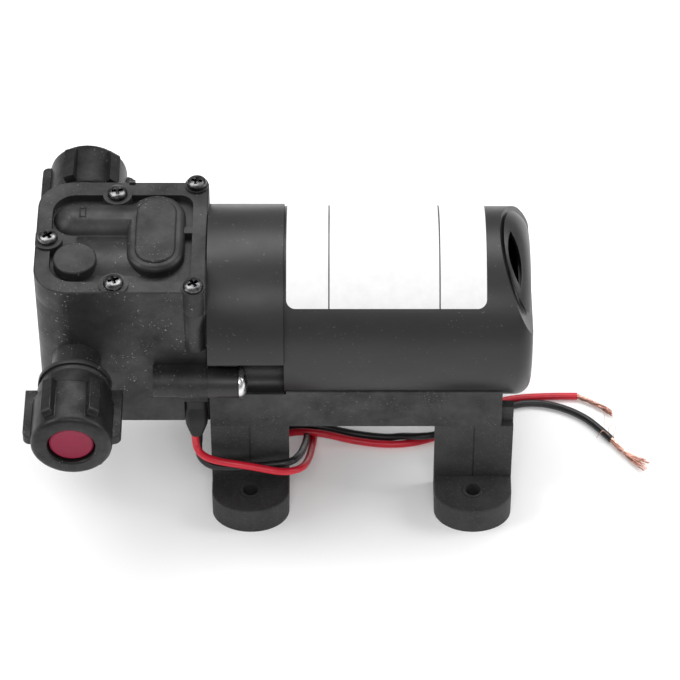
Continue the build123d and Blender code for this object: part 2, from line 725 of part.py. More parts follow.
def connecting_rod():
    """Rod with its round eye on the crank bearing and the flat plate under the diaphragm."""
    half = ROD_EYE_WIDTH / 2
    plate_z = diaphragm_bottom - SEAT
    rod = rod_x(PUMP_X - half, PUMP_X + half, ROD_EYE_RADIUS, 0, crank_z)
    rod += block(PUMP_X - half, PUMP_X + half, -ROD_NECK_WIDTH / 2, ROD_NECK_WIDTH / 2, crank_z, plate_z)
    rod += rod_z(plate_z - ROD_PLATE_THICK, plate_z, CLAMP_RADIUS, PUMP_X, 0)
    rod -= rod_x(PUMP_X - half - 1, PUMP_X + half + 1, OUTER_RACE_RADIUS + SEAT, 0, crank_z)
    screw_foot = DECK_Z + SEAT + CLAMP_THICK - ROD_SCREW_LENGTH
    return rod - rod_z(screw_foot - 0.2, plate_z + 1, ROD_SCREW_RADIUS + SEAT, PUMP_X, 0)


def race(outer, inner):
    half = RACE_WIDTH / 2
    ring = rod_x(PUMP_X - half, PUMP_X + half, outer, 0, crank_z)
    ring -= rod_x(PUMP_X - half - 1, PUMP_X + half + 1, inner, 0, crank_z)
    return ring


def crank_balls():
    """Balls of the crank bearing with the thin cage that spaces them."""
    middle = (INNER_RACE_RADIUS + OUTER_RACE_BORE) / 2
    cage = rod_x(PUMP_X - 0.5, PUMP_X + 0.5, middle + 0.5, 0, crank_z)
    cage -= rod_x(PUMP_X - 2, PUMP_X + 2, middle - 0.5, 0, crank_z)
    for step in range(BALL_COUNT):
        angle = 2 * math.pi * step / BALL_COUNT
        cage += Pos(PUMP_X, middle * math.cos(angle), crank_z + middle * math.sin(angle)) * Sphere(BALL_RADIUS)
    return cage


def eccentric():
    """Crank pin, shoulder and counterweight, bored for the motor shaft."""
    half = RACE_WIDTH / 2
    shoulder = PUMP_X + half
    weight = shoulder + COUNTERWEIGHT_SHOULDER
    piece = rod_x(PUMP_X - half - CRANK_PIN_OVERHANG, shoulder + 0.1, CRANK_PIN_RADIUS, 0, crank_z)
    piece += rod_x(shoulder, weight, INNER_RACE_RADIUS - CRANK_SHOULDER_STEP, 0, crank_z)
    piece += rod_x(weight - 0.1, weight + COUNTERWEIGHT_THICK, INNER_RACE_RADIUS + CRANK_HUB_STEP)
    piece += sector_x(weight, weight + COUNTERWEIGHT_THICK, 1.0, COUNTERWEIGHT_RADIUS, 120, 120)
    piece -= rod_x(SHAFT_LEFT - 5, weight + COUNTERWEIGHT_THICK + 1, SHAFT_RADIUS + SEAT)
    screw_x = weight + COUNTERWEIGHT_THICK / 2
    return piece - rod_z(AXIS_Z, AXIS_Z + COUNTERWEIGHT_RADIUS, SET_SCREW_RADIUS, screw_x, 0)


def eccentric_screw():
    screw_x = PUMP_X + RACE_WIDTH / 2 + COUNTERWEIGHT_SHOULDER + COUNTERWEIGHT_THICK / 2
    top = AXIS_Z + INNER_RACE_RADIUS + 4 * FIT
    return rod_z(AXIS_Z + SHAFT_RADIUS + SEAT, top, SET_SCREW_RADIUS - SEAT, screw_x, 0)


def port_washers():
    start = NECK_END + RING_STEP_LENGTH * len(RING_STEPS)
    rings = []
    for side in (-1, 1):
        low, high = sorted((side * start, side * (start + WASHER_THICK)))
        ring = rod_y(low, high, SPIGOT_RADIUS + 2, PORT_X, PORT_Z)
        rings.append(ring - rod_y(low - 1, high + 1, SPIGOT_RADIUS + FIT, PORT_X, PORT_Z))
    return Compound(children=rings)


def port_nut(side):
    """Ribbed union nut, made on the far side and turned over for the near one."""
    nut = rod_y(NUT_START, NUT_SHOULDER + 1, NUT_NECK_RADIUS, PORT_X, PORT_Z)
    barrel = rod_y(NUT_SHOULDER, NUT_END, NUT_RADIUS, PORT_X, PORT_Z)
    nut += fillet(barrel.faces().sort_by(Axis.Y)[-1].edges(), NUT_RIM_ROUND)
    for step in range(RIB_COUNT):
        turn = 360 * step / RIB_COUNT
        start = NUT_START if turn % 180 == 0 else NUT_SHOULDER + 0.6
        rib = block(NUT_NECK_RADIUS - 2, RIB_REACH, start, NUT_END - 0.7, -RIB_WIDTH / 2, RIB_WIDTH / 2)
        rib = fillet(rib.faces().sort_by(Axis.X)[-1].edges(), RIB_WIDTH * 0.3)
        clocked = turn + FAR_NUT_TURN if side > 0 else turn
        nut += Pos(PORT_X, 0, PORT_Z) * Rot(0, clocked, 0) * rib
    bore = SPIGOT_RADIUS + 3 * FIT
    nut -= rod_y(NUT_START - 1, NUT_END - NUT_FACE_THICK, bore, PORT_X, PORT_Z)
    nut -= rod_y(NUT_START, NUT_END + 1, NUT_MOUTH_RADIUS, PORT_X, PORT_Z)
    return nut if side > 0 else mirror(nut, about=Plane.XZ)


def port_plug(side):
    """Soft plug that closes the port, held by the nut on its flange."""
    flange = PORT_END + 2 * FIT
    plug = rod_y(flange, flange + PLUG_FLANGE_THICK, PLUG_FLANGE_RADIUS, PORT_X, PORT_Z)
    face = rod_y(flange, NUT_END - PLUG_RECESS, NUT_MOUTH_RADIUS - 4 * FIT, PORT_X, PORT_Z)
    plug += face
    plug += rod_y(flange - PLUG_STEM_LENGTH, flange + 0.5, PORT_BORE - 3 * FIT, PORT_X, PORT_Z)
    return plug if side > 0 else mirror(plug, about=Plane.XZ)


def switch_membrane():
    return rod_z(MEMBRANE_TOP - MEMBRANE_THICK, MEMBRANE_TOP, MEMBRANE_RADIUS, PORT_X, SWITCH_Y)


def switch_guide():
    """Ring that holds the membrane and guides the plunger."""
    shelf = guide_top - GUIDE_THICK
    guide = rod_z(shelf - GUIDE_SHELF, guide_top, MEMBRANE_RADIUS, PORT_X, SWITCH_Y)
    guide -= rod_z(shelf, guide_top + 1, PLUNGER_HEAD_RADIUS + 3 * FIT, PORT_X, SWITCH_Y)
    return guide - rod_z(shelf - GUIDE_SHELF - 1, guide_top, PLUNGER_RADIUS + RUN, PORT_X, SWITCH_Y)


def switch_plunger():
    top = guide_top - SEAT
    plunger = rod_z(plunger_foot, top, PLUNGER_RADIUS, PORT_X, SWITCH_Y)
    return plunger + rod_z(top - PLUNGER_HEAD_THICK, top, PLUNGER_HEAD_RADIUS, PORT_X, SWITCH_Y)


def switch_spring():
    low = guide_top - GUIDE_THICK + SPRING_GAP
    high = guide_top - SEAT - PLUNGER_HEAD_THICK - SPRING_GAP
    return coil(PORT_X, SWITCH_Y, low, high, SWITCH_SPRING_RADIUS, SWITCH_SPRING_WIRE / 2, SWITCH_SPRING_TURNS)


def microswitch():
    floor = HEAD_BOTTOM + TRAY_FLOOR
    left = PORT_X - SWITCH_LENGTH / 2
    low = SWITCH_Y - SWITCH_WIDTH / 2
    switch = block(left, left + SWITCH_LENGTH, low, low + SWITCH_WIDTH, floor, floor + SWITCH_HEIGHT)
    switch += rod_z(floor, plunger_foot - PLUNGER_TRAVEL - FIT, SWITCH_BUTTON_RADIUS, PORT_X, SWITCH_Y)
    half = TERMINAL_WIDTH / 2
    foot_z = floor + TERMINAL_RISE
    for x in (left + TERMINAL_INSET, left + SWITCH_LENGTH - TERMINAL_INSET):
        switch += block(x - half, x + half, low - TERMINAL_REACH, low + 0.5, foot_z, foot_z + TERMINAL_THICK)
    return switch


def wire_gland():
    """Tapered gland that lets the two leads out at the bottom of the head."""
    top = Plane(origin=(GLAND_X, gland_top_y, GLAND_TOP)) * RectangleRounded(GLAND_WIDTH, GLAND_DEPTH, 1.4)
    waist = Plane(origin=(GLAND_X, gland_top_y, HEAD_BOTTOM + 3)) * RectangleRounded(
        GLAND_WIDTH, GLAND_DEPTH, 1.4
    )
    tip = Plane(origin=(GLAND_X, gland_tip_y, GLAND_TIP_Z)) * RectangleRounded(
        GLAND_TIP_WIDTH, GLAND_TIP_DEPTH, 1.8
    )
    return loft(Sketch() + [waist, top], ruled=True) + loft(Sketch() + [tip, waist], ruled=True)


RED_ROUTE = (
    (-53.6, -26.3, GLAND_TIP_Z), (-53.6, -26.3, 25.6), (-53.0, -28.0, 21.8), (-50.3, -30.3, 19.4),
    (-45.8, -31.9, 19.0), (-39.6, -32.6, 19.4), (-32.6, -33.0, 18.7), (-25.0, -33.5, 17.2),
    (-17.7, -29.6, 13.4), (-15.9, -20.2, 8.0), (-16.0, -10.4, 1.6), (-15.5, 1.0, 1.3),
    (-15.4, 12.4, 1.3), (-21.8, 19.4, 1.3), (-31.3, 19.5, 1.3), (-38.0, 12.8, 1.3), (-37.9, 3.4, 1.3),
    (-31.2, -3.1, 1.3), (-21.3, -3.3, 5.2), (-12.3, -4.5, 5.3), (-2.8, -4.2, 1.3), (9.0, -6.1, 1.3),
    (19.5, -4.8, 1.3), (28.3, -0.6, 1.3), (36.6, 7.2, 1.3), (46.2, 13.9, 1.3), (59.3, 15.8, 1.3),
    (72.3, 15.7, 1.3),
)

BLACK_ROUTE = (
    (-52.4, -23.6, GLAND_TIP_Z), (-52.4, -23.6, 25.4), (-52.9, -25.0, 21.0), (-51.9, -27.3, 17.5),
    (-48.5, -29.4, 15.3), (-43.4, -30.2, 14.8), (-36.8, -29.7, 15.8), (-29.6, -30.4, 17.0),
    (-23.2, -30.3, 16.6), (-19.1, -25.6, 14.0), (-18.4, -18.4, 9.6), (-18.5, -10.6, 4.2),
    (-18.4, -2.4, 1.4), (-18.1, 5.0, 1.3), (-18.8, 12.0, 1.3), (-23.8, 16.5, 1.3), (-30.4, 16.7, 1.3),
    (-35.2, 11.9, 1.3), (-35.1, 5.1, 1.3), (-30.2, 0.1, 1.3), (-21.3, -0.3, 5.2), (-12.3, -1.5, 5.3),
    (-2.8, -1.1, 1.3), (8.4, -2.9, 1.3), (17.2, -2.3, 1.4), (24.3, -1.4, 5.1), (32.8, 0.9, 5.2),
    (41.0, 6.6, 1.4), (48.6, 11.1, 1.3), (57.0, 13.1, 1.3), (66.0, 11.2, 1.3), (73.8, 6.8, 1.3),
    (79.0, 1.4, 1.3), (82.8, -3.6, 1.3),
)

RED_STRAND_ROUTE = (RED_ROUTE[-1], (78.8, 12.4, 1.2), (84.6, 7.6, 1.1))
BLACK_STRAND_ROUTE = (BLACK_ROUTE[-1], (85.6, -8.1, 1.2), (90.2, -12.4, 1.1), (94.6, -15.6, 1.0))


def corner_radii(points):
    """The largest radius that each corner's two runs allow."""
    radii = []
    spots = [Vector(*point) for point in points]
    for before, corner, after in zip(spots, spots[1:], spots[2:]):
        run_in = corner - before
        run_out = after - corner
        half_turn = math.radians(run_in.get_angle(run_out)) / 2
        radii.append(0.45 * min(run_in.length, run_out.length) / math.tan(half_turn))
    return radii


def cord_tube(points, radius, name):
    """A round cord along straight runs joined by tangent arcs."""
    radii = corner_radii(points)
    path = FilletPolyline(*points, radius=radii)
    section = Plane(origin=path @ 0, z_dir=path % 0) * Circle(radius)
    tube = sweep(section, path=path)
    expected = math.pi * radius**2 * path.length
    print(name, "length", round(path.length, 1), "smallest radius", round(min(radii), 1))
    print(name, "radii", [round(value, 1) for value in radii])
    print(name, "volume share", round(tube.volume / expected, 4))
    return tube


def adapter_sleeve():
    """Sleeve between the head and the motor, with its bolt bosses and driver channels."""
    sleeve = rod_x(SEAM_X, sleeve_right, SLEEVE_RADIUS)
    inner = SLEEVE_RADIUS - SLEEVE_WALL
    partition_right = PARTITION_X + PARTITION_THICK
    sleeve -= rod_x(SEAM_X + SLEEVE_FACE_THICK, PARTITION_X, inner)
    sleeve -= rod_x(partition_right, sleeve_right + 1, inner)
    hull = rod_x(SEAM_X, sleeve_right, SLEEVE_RADIUS)
    head_pocket = BOLT_HEAD_RADIUS + CHANNEL_CLEAR
    for side in (-1, 1):
        sleeve += rod_x(SEAM_X, sleeve_right, head_pocket + CHANNEL_WALL, side * BOLT_Y, BOLT_Z) & hull
        sleeve += channel_opening(side, head_pocket + CHANNEL_WALL, 0) & hull
        sleeve -= channel_opening(side, head_pocket, 1)
        sleeve += rod_x(SEAM_X, BOLT_SEAT_X, BOSS_RADIUS, side * BOLT_Y, BOLT_Z)
    for side in (-1, 1):
        sleeve -= rod_x(BOLT_SEAT_X, sleeve_right + 1, head_pocket, side * BOLT_Y, BOLT_Z)
        sleeve -= rod_x(SEAM_X - 1, BOLT_SEAT_X + 1, BOLT_SHANK_RADIUS + FIT, side * BOLT_Y, BOLT_Z)
        screw_z = AXIS_Z + side * MOTOR_SCREW_OFFSET
        sleeve -= rod_x(PARTITION_X - 1, partition_right + 1, MOTOR_SCREW_RADIUS + FIT, 0, screw_z)
    sleeve -= rod_x(SEAM_X - 1, SEAM_X + SLEEVE_FACE_THICK + 1, CRANK_DOOR_RADIUS)
    sleeve -= cradle_screw_hole(CRADLE_SCREW_X[0], SLEEVE_RADIUS)
    return sleeve - rod_x(PARTITION_X - 1, partition_right + 1, CAN_NOSE_RADIUS + FIT)


def channel_opening(side, half, overrun):
    """Slab that reaches out and up from a through bolt, the way its driver channel opens."""
    slab = block(SEAM_X - overrun, sleeve_right + overrun, 0, SLEEVE_RADIUS, -half, half)
    slab = Pos(0, BOLT_Y, BOLT_Z) * Rot(CHANNEL_TILT, 0, 0) * slab
    if side < 0:
        slab = mirror(slab, about=Plane.XZ)
    return slab


def through_bolts():
    bolts = []
    for side in (-1, 1):
        y = side * BOLT_Y
        head = rod_x(BOLT_SEAT_X, BOLT_SEAT_X + BOLT_HEAD_HEIGHT, BOLT_HEAD_RADIUS, y, BOLT_Z)
        head = fillet(head.faces().sort_by(Axis.X)[-1].edges(), BOLT_HEAD_ROUND)
        shank = rod_x(BOSS_END_X - BOLT_TIP_REACH, BOLT_SEAT_X + 0.1, BOLT_SHANK_RADIUS, y, BOLT_Z)
        bolts.append(head + shank)
    return Compound(children=bolts)


def motor_screws():
    screws = []
    for side in (-1, 1):
        z = AXIS_Z + side * MOTOR_SCREW_OFFSET
        head = rod_x(PARTITION_X - MOTOR_SCREW_THICK, PARTITION_X, MOTOR_SCREW_HEAD, 0, z)
        shank = rod_x(PARTITION_X - 0.1, PARTITION_X + MOTOR_SCREW_LENGTH, MOTOR_SCREW_RADIUS, 0, z)
        screws.append(head + shank)
    return Compound(children=screws)


def slant_side(offset):
    """Everything on the free side of the slanted cut, moved by an offset along X."""
    low_z = AXIS_Z - SLANT_REACH
    high_z = AXIS_Z + SLANT_REACH
    share = SLANT_RUN / JACKET_RADIUS
    low_x = slant_at_axis + offset + SLANT_REACH * share
    high_x = slant_at_axis + offset - SLANT_REACH * share
    far_x = jacket_right + SLANT_REACH
    outline = Polyline((low_x, low_z), (far_x, low_z), (far_x, high_z), (high_x, high_z), (low_x, low_z))
    face = Plane.XZ * make_face(outline)
    return Pos(0, SLANT_REACH, 0) * extrude(face, 2 * SLANT_REACH)


def jacket_plug(inset):
    """The jacket's outer form drawn in by an inset, open past its left end."""
    plug = rod_x(sleeve_right - inset, jacket_right - inset, JACKET_RADIUS - inset)
    corner = max(JACKET_ROUND - inset, FIT)
    return fillet(plug.faces().sort_by(Axis.X)[-1].edges(), corner)


def jacket():
    """Moulded jacket over the steel can, cut on a slant at its free end."""
    shell = jacket_plug(0) - jacket_plug(JACKET_WALL)
    for step in range(JACKET_RIBS):
        rib = block(
            sleeve_right, can_back - 6, -JACKET_RIB_WIDTH / 2, JACKET_RIB_WIDTH / 2, CAN_RADIUS + FIT,
            JACKET_RADIUS - JACKET_WALL + 0.5,
        )
        shell += Pos(0, 0, AXIS_Z) * Rot(360 * (step + 0.5) / JACKET_RIBS, 0, 0) * rib
    shell -= cradle_screw_hole(CRADLE_SCREW_X[1], JACKET_RADIUS)
    return shell - slant_side(0)


def dome_end():
    """Vented end dome that tucks under the slanted edge of the jacket."""
    radius = JACKET_RADIUS - DOME_END_INSET
    right = jacket_right - DOME_END_INSET
    shell = rod_x(sleeve_right, right, radius)
    shell = fillet(shell.faces().sort_by(Axis.X)[-1].edges(), DOME_END_ROUND)
    hollow = rod_x(sleeve_right - 5, right - DOME_END_WALL, radius - DOME_END_WALL)
    hollow = fillet(hollow.faces().sort_by(Axis.X)[-1].edges(), DOME_END_ROUND - DOME_END_WALL)
    shell = (shell - hollow) & slant_side(GROOVE_WIDTH)
    lip = jacket_plug(JACKET_WALL + FIT) - jacket_plug(JACKET_WALL + FIT + DOME_LIP_THICK)
    shell += (lip & slant_side(-DOME_LIP)) - slant_side(GROOVE_WIDTH + DOME_LIP_HOLD)
    return shell - vent()


def vent():
    """Almond-shaped opening through the side of the end dome."""
    near = (vent_x + VENT_SLANT / 2, -VENT_LENGTH / 2)
    far = (vent_x - VENT_SLANT / 2, VENT_LENGTH / 2)
    outline = ThreePointArc(near, (vent_x - VENT_LEFT_BULGE, 0), far)
    outline += ThreePointArc(far, (vent_x + VENT_RIGHT_BULGE, 0), near)
    opening = extrude(Pos(0, 0, JACKET_RADIUS - VENT_DEPTH) * make_face(outline), VENT_DEPTH + 2)
    return Pos(0, 0, AXIS_Z) * Rot(VENT_MIDDLE, 0, 0) * opening


def label():
    """Bare sticker round the top of the jacket."""
    sticker = sector_x(
        LABEL_LEFT, label_right, JACKET_RADIUS + SEAT, JACKET_RADIUS + SEAT + LABEL_THICK, LABEL_FAR_ANGLE,
        LABEL_NEAR_ANGLE - LABEL_FAR_ANGLE,
    )
    corners = sticker.edges().filter_by(lambda edge: edge.length < 2 * LABEL_THICK)
    return fillet(corners, LABEL_CORNER)


def motor_can():
    can = rod_x(CAN_FRONT, can_back, CAN_RADIUS)
    can += rod_x(CAN_FRONT - CAN_NOSE_LENGTH, CAN_FRONT + 0.5, CAN_NOSE_RADIUS)
    can -= rod_x(CAN_FRONT + CAN_WALL, can_back + 1, CAN_RADIUS - CAN_WALL)
    bearing_left = CAN_FRONT - CAN_NOSE_LENGTH + 1
    can -= rod_x(bearing_left, CAN_FRONT + 2, FRONT_BEARING_RADIUS + SEAT)
    can -= rod_x(CAN_FRONT - 10, CAN_FRONT, SHAFT_RADIUS + 1)
    for side in (-1, 1):
        z = AXIS_Z + side * MOTOR_SCREW_OFFSET
        can -= rod_x(CAN_FRONT - 1, CAN_FRONT + 2, MOTOR_SCREW_RADIUS + SEAT, 0, z)
    return can


def front_bearing():
    left = CAN_FRONT - CAN_NOSE_LENGTH + 1
    bearing = rod_x(left, left + FRONT_BEARING_WIDTH, FRONT_BEARING_RADIUS)
    return bearing - rod_x(left - 1, left + FRONT_BEARING_WIDTH + 1, SHAFT_RADIUS + RUN)


def rear_bush():
    left = can_back + BUSH_SETBACK
    bush = rod_x(left, left + REAR_BUSH_WIDTH, REAR_BUSH_RADIUS)
    return bush - rod_x(left - 1, left + REAR_BUSH_WIDTH + 1, SHAFT_RADIUS + RUN)


def end_plate():
    """Moulded end plate that carries the rear bush and the brush holders."""
    right = can_back + END_PLATE_THICK
    inner = CAN_RADIUS - CAN_WALL
    plate = rod_x(can_back, right, CAN_RADIUS) + rod_x(can_back - END_PLATE_LIP, can_back + 0.5, inner - FIT)
    plate -= rod_x(can_back - END_PLATE_LIP - 1, can_back, inner - END_PLATE_LIP)
    plate += rod_x(right - 0.5, right + BUSH_HUB_LENGTH, REAR_BUSH_RADIUS + BUSH_HUB_WALL)
    brush_x = commutator_left + COMMUTATOR_LENGTH / 2
    half = BRUSH_WIDTH / 2
    reach = COMMUTATOR_RADIUS + BRUSH_LENGTH + BRUSH_SPRING_LENGTH + 2 * FIT
    for side in (-1, 1):
        start = COMMUTATOR_RADIUS + HOLDER_GAP
        low, high = sorted((AXIS_Z + side * start, AXIS_Z + side * (reach + HOLDER_WALL)))
        left = brush_x - half - HOLDER_WALL
        plate += block(left, can_back + 0.5, -half - HOLDER_WALL, half + HOLDER_WALL, low, high)
        low, high = sorted((AXIS_Z, AXIS_Z + side * reach))
        plate -= block(brush_x - half - FIT, brush_x + half + FIT, -half - FIT, half + FIT, low, high)
    bush_left = can_back + BUSH_SETBACK
    plate -= rod_x(bush_left, bush_left + REAR_BUSH_WIDTH, REAR_BUSH_RADIUS + SEAT)
    return plate - rod_x(can_back - 1, right + 4, SHAFT_RADIUS + BUSH_SETBACK)


def brushes():
    x = commutator_left + COMMUTATOR_LENGTH / 2
    half = BRUSH_WIDTH / 2
    pair = []
    for side in (-1, 1):
        near = COMMUTATOR_RADIUS - 0.4
        low, high = sorted((AXIS_Z + side * near, AXIS_Z + side * (COMMUTATOR_RADIUS + BRUSH_LENGTH)))
        brush = block(x - half, x + half, -half, half, low, high)
        pair.append(brush - rod_x(commutator_left - 1, can_back, COMMUTATOR_RADIUS + 2 * RUN))
    return Compound(children=pair)


def brush_springs():
    x = commutator_left + COMMUTATOR_LENGTH / 2
    pair = []
    for side in (-1, 1):
        near = COMMUTATOR_RADIUS + BRUSH_LENGTH + SPRING_GAP
        low, high = sorted((AXIS_Z + side * near, AXIS_Z + side * (near + BRUSH_SPRING_LENGTH)))
        pair.append(coil(x, 0, low, high, BRUSH_SPRING_RADIUS, BRUSH_SPRING_WIRE / 2, BRUSH_SPRING_TURNS))
    return Compound(children=pair)


def motor_shaft():
    return rod_x(SHAFT_LEFT, shaft_right, SHAFT_RADIUS)


def armature_core():
    """Laminated core with its slots for the windings."""
    core = rod_x(CORE_LEFT, CORE_LEFT + core_length, CORE_RADIUS)
    core -= rod_x(CORE_LEFT - 1, CORE_LEFT + core_length + 1, SHAFT_RADIUS + SEAT)
    for step in range(SLOT_COUNT):
        middle = 360 * step / SLOT_COUNT
        right = CORE_LEFT + core_length + 1
        core -= sector_x(CORE_LEFT - 1, right, SLOT_INNER, SLOT_OUTER, middle - SLOT_ANGLE / 2, SLOT_ANGLE)
        core -= sector_x(
            CORE_LEFT - 1, right, SLOT_OUTER - 1, CORE_RADIUS + 1, middle - SLOT_MOUTH / 2, SLOT_MOUTH
        )
    return core


def armature_windings():
    """Copper in the slots and the two end turns, one solid."""
    inner = SLOT_INNER + COIL_GAP
    outer = SLOT_OUTER - COIL_GAP
    left = CORE_LEFT - COIL_GAP
    right = CORE_LEFT + core_length + COIL_GAP
    windings = rod_x(left - COIL_END_LENGTH, left, outer) + rod_x(right, right + COIL_END_LENGTH, outer)
    windings -= rod_x(left - COIL_END_LENGTH - 1, right + COIL_END_LENGTH + 1, inner)
    arc = SLOT_ANGLE - COIL_CLEAR_ANGLE
    for step in range(SLOT_COUNT):
        middle = 360 * step / SLOT_COUNT
        windings += sector_x(
            left - COIL_END_LENGTH / 2, right + COIL_END_LENGTH / 2, inner + COIL_GAP, outer - COIL_GAP,
            middle - arc / 2, arc,
        )
    return windings


def commutator():
    right = commutator_left + COMMUTATOR_LENGTH
    drum = rod_x(commutator_left, right, COMMUTATOR_RADIUS)
    collar_right = commutator_left + COLLAR_RIGHT
    drum += rod_x(commutator_left - COLLAR_LEFT, collar_right, COMMUTATOR_RADIUS + COLLAR_STEP)
    return drum - rod_x(commutator_left - 2, right + 1, SHAFT_RADIUS + SEAT)


def magnets():
    inner = CAN_RADIUS - CAN_WALL - MAGNET_GAP - MAGNET_THICK
    left = CORE_LEFT + core_length / 2 - magnet_length / 2
    pair = []
    for side in (90, 270):
        start = side - MAGNET_ARC / 2
        pair.append(sector_x(left, left + magnet_length, inner, inner + MAGNET_THICK, start, MAGNET_ARC))
    return Compound(children=pair)


def cradle_screw_hole(x, shell_radius):
    """Hole for a cradle screw in the underside of the sleeve or the jacket."""
    under = AXIS_Z - shell_radius
    return rod_z(under - 1, under + CRADLE_SCREW_GRIP + CRADLE_SCREW_SPARE, CRADLE_SCREW_RADIUS + FIT, x, 0)


def cradle():
    """Two rails under the motor, tied by a strap over each pair of feet."""
    left = -(FOOT_SPACING_X + FOOT_WIDTH) / 2
    foot_inner = (FOOT_SPACING_X - FOOT_WIDTH) / 2
    rails = block(left, RAIL_RIGHT, -LEG_OUTER_Y, LEG_OUTER_Y, rail_bottom, RAIL_TOP)
    rails = fillet(rails.edges().filter_by(Axis.X).sort_by(Axis.Z)[-2:], RAIL_EDGE_ROUND)
    rails -= block(left - 1, RAIL_RIGHT + 1, -RAIL_INNER_Y, RAIL_INNER_Y, rail_bottom - 1, RAIL_TOP + 1)
    strap_half = LEG_INNER_Y - FIT
    for x0, x1 in ((left, -foot_inner), (foot_inner, RAIL_RIGHT)):
        rails += block(x0, x1, -strap_half, strap_half, rail_bottom - STRAP_THICK, rail_bottom + 0.5)
    rails -= rod_x(left - 1, sleeve_right + 0.5, SLEEVE_RADIUS + SADDLE_CLEAR)
    rails -= rod_x(sleeve_right, RAIL_RIGHT + 1, JACKET_RADIUS + SADDLE_CLEAR)
    for side in (-1, 1):
        low, high = sorted((side * (TONGUE_INNER_Y - FIT), side * (TONGUE_OUTER_Y + FIT)))
        for x0, x1 in ((left - 1, -foot_inner + FIT), (foot_inner - FIT, RAIL_RIGHT + 1)):
            rails -= block(x0, x1, low, high, rail_bottom - 1, rail_bottom + TONGUE_HEIGHT + FIT)
    for x in CRADLE_SCREW_X:
        rails -= rod_z(rail_bottom - STRAP_THICK - 1, rail_bottom + 2, CRADLE_SCREW_RADIUS + FIT, x, 0)
    return rails


def cradle_screws():
    screws = []
    top = rail_bottom - STRAP_THICK
    for x, grip in zip(CRADLE_SCREW_X, (SLEEVE_RADIUS, JACKET_RADIUS)):
        screw = rod_z(top - CRADLE_SCREW_THICK, top, CRADLE_SCREW_HEAD, x, 0)
        screw += rod_z(top - 0.1, AXIS_Z - grip + CRADLE_SCREW_GRIP, CRADLE_SCREW_RADIUS, x, 0)
        screws.append(screw)
    return Compound(children=screws)


def foot(x_side, y_side):
    """Rubber foot: round-ended pad, leg and the tongue that slides into the rail."""
    half = FOOT_WIDTH / 2
    hole_y = FOOT_SPACING_Y / 2
    straight = Polyline((half, hole_y), (half, LEG_INNER_Y), (-half, LEG_INNER_Y), (-half, hole_y))
    end = EllipticalCenterArc((0, hole_y), half, PAD_REACH, start_angle=0, arc_size=180)
    pad = extrude(make_face(Curve() + [straight, end]), PAD_THICK)
    piece = fillet(pad.faces().sort_by(Axis.Z)[-1].edges().sort_by(Axis.Y)[1:], PAD_EDGE_ROUND)
    piece += block(-half, half, LEG_INNER_Y, LEG_OUTER_Y, PAD_THICK - 1, rail_bottom)
    piece += block(-half, half, TONGUE_INNER_Y, TONGUE_OUTER_Y, rail_bottom - 1, rail_bottom + TONGUE_HEIGHT)
    piece += rod_z(PAD_THICK - 0.5, PAD_THICK + FOOT_RING_HEIGHT, FOOT_RING_RADIUS, 0, hole_y)
    piece -= rod_z(-1, PAD_THICK + 2, FOOT_HOLE_RADIUS, 0, hole_y)
    groove = SEAM_GROOVE / 2
    groove_floor = LEG_OUTER_Y - SEAM_GROOVE_DEPTH
    piece -= block(-groove, groove, groove_floor, LEG_OUTER_Y + 1, PAD_THICK, rail_bottom + 1)
    if y_side < 0:
        piece = mirror(piece, about=Plane.XZ)
    return Pos(x_side * FOOT_SPACING_X / 2, 0, 0) * piece


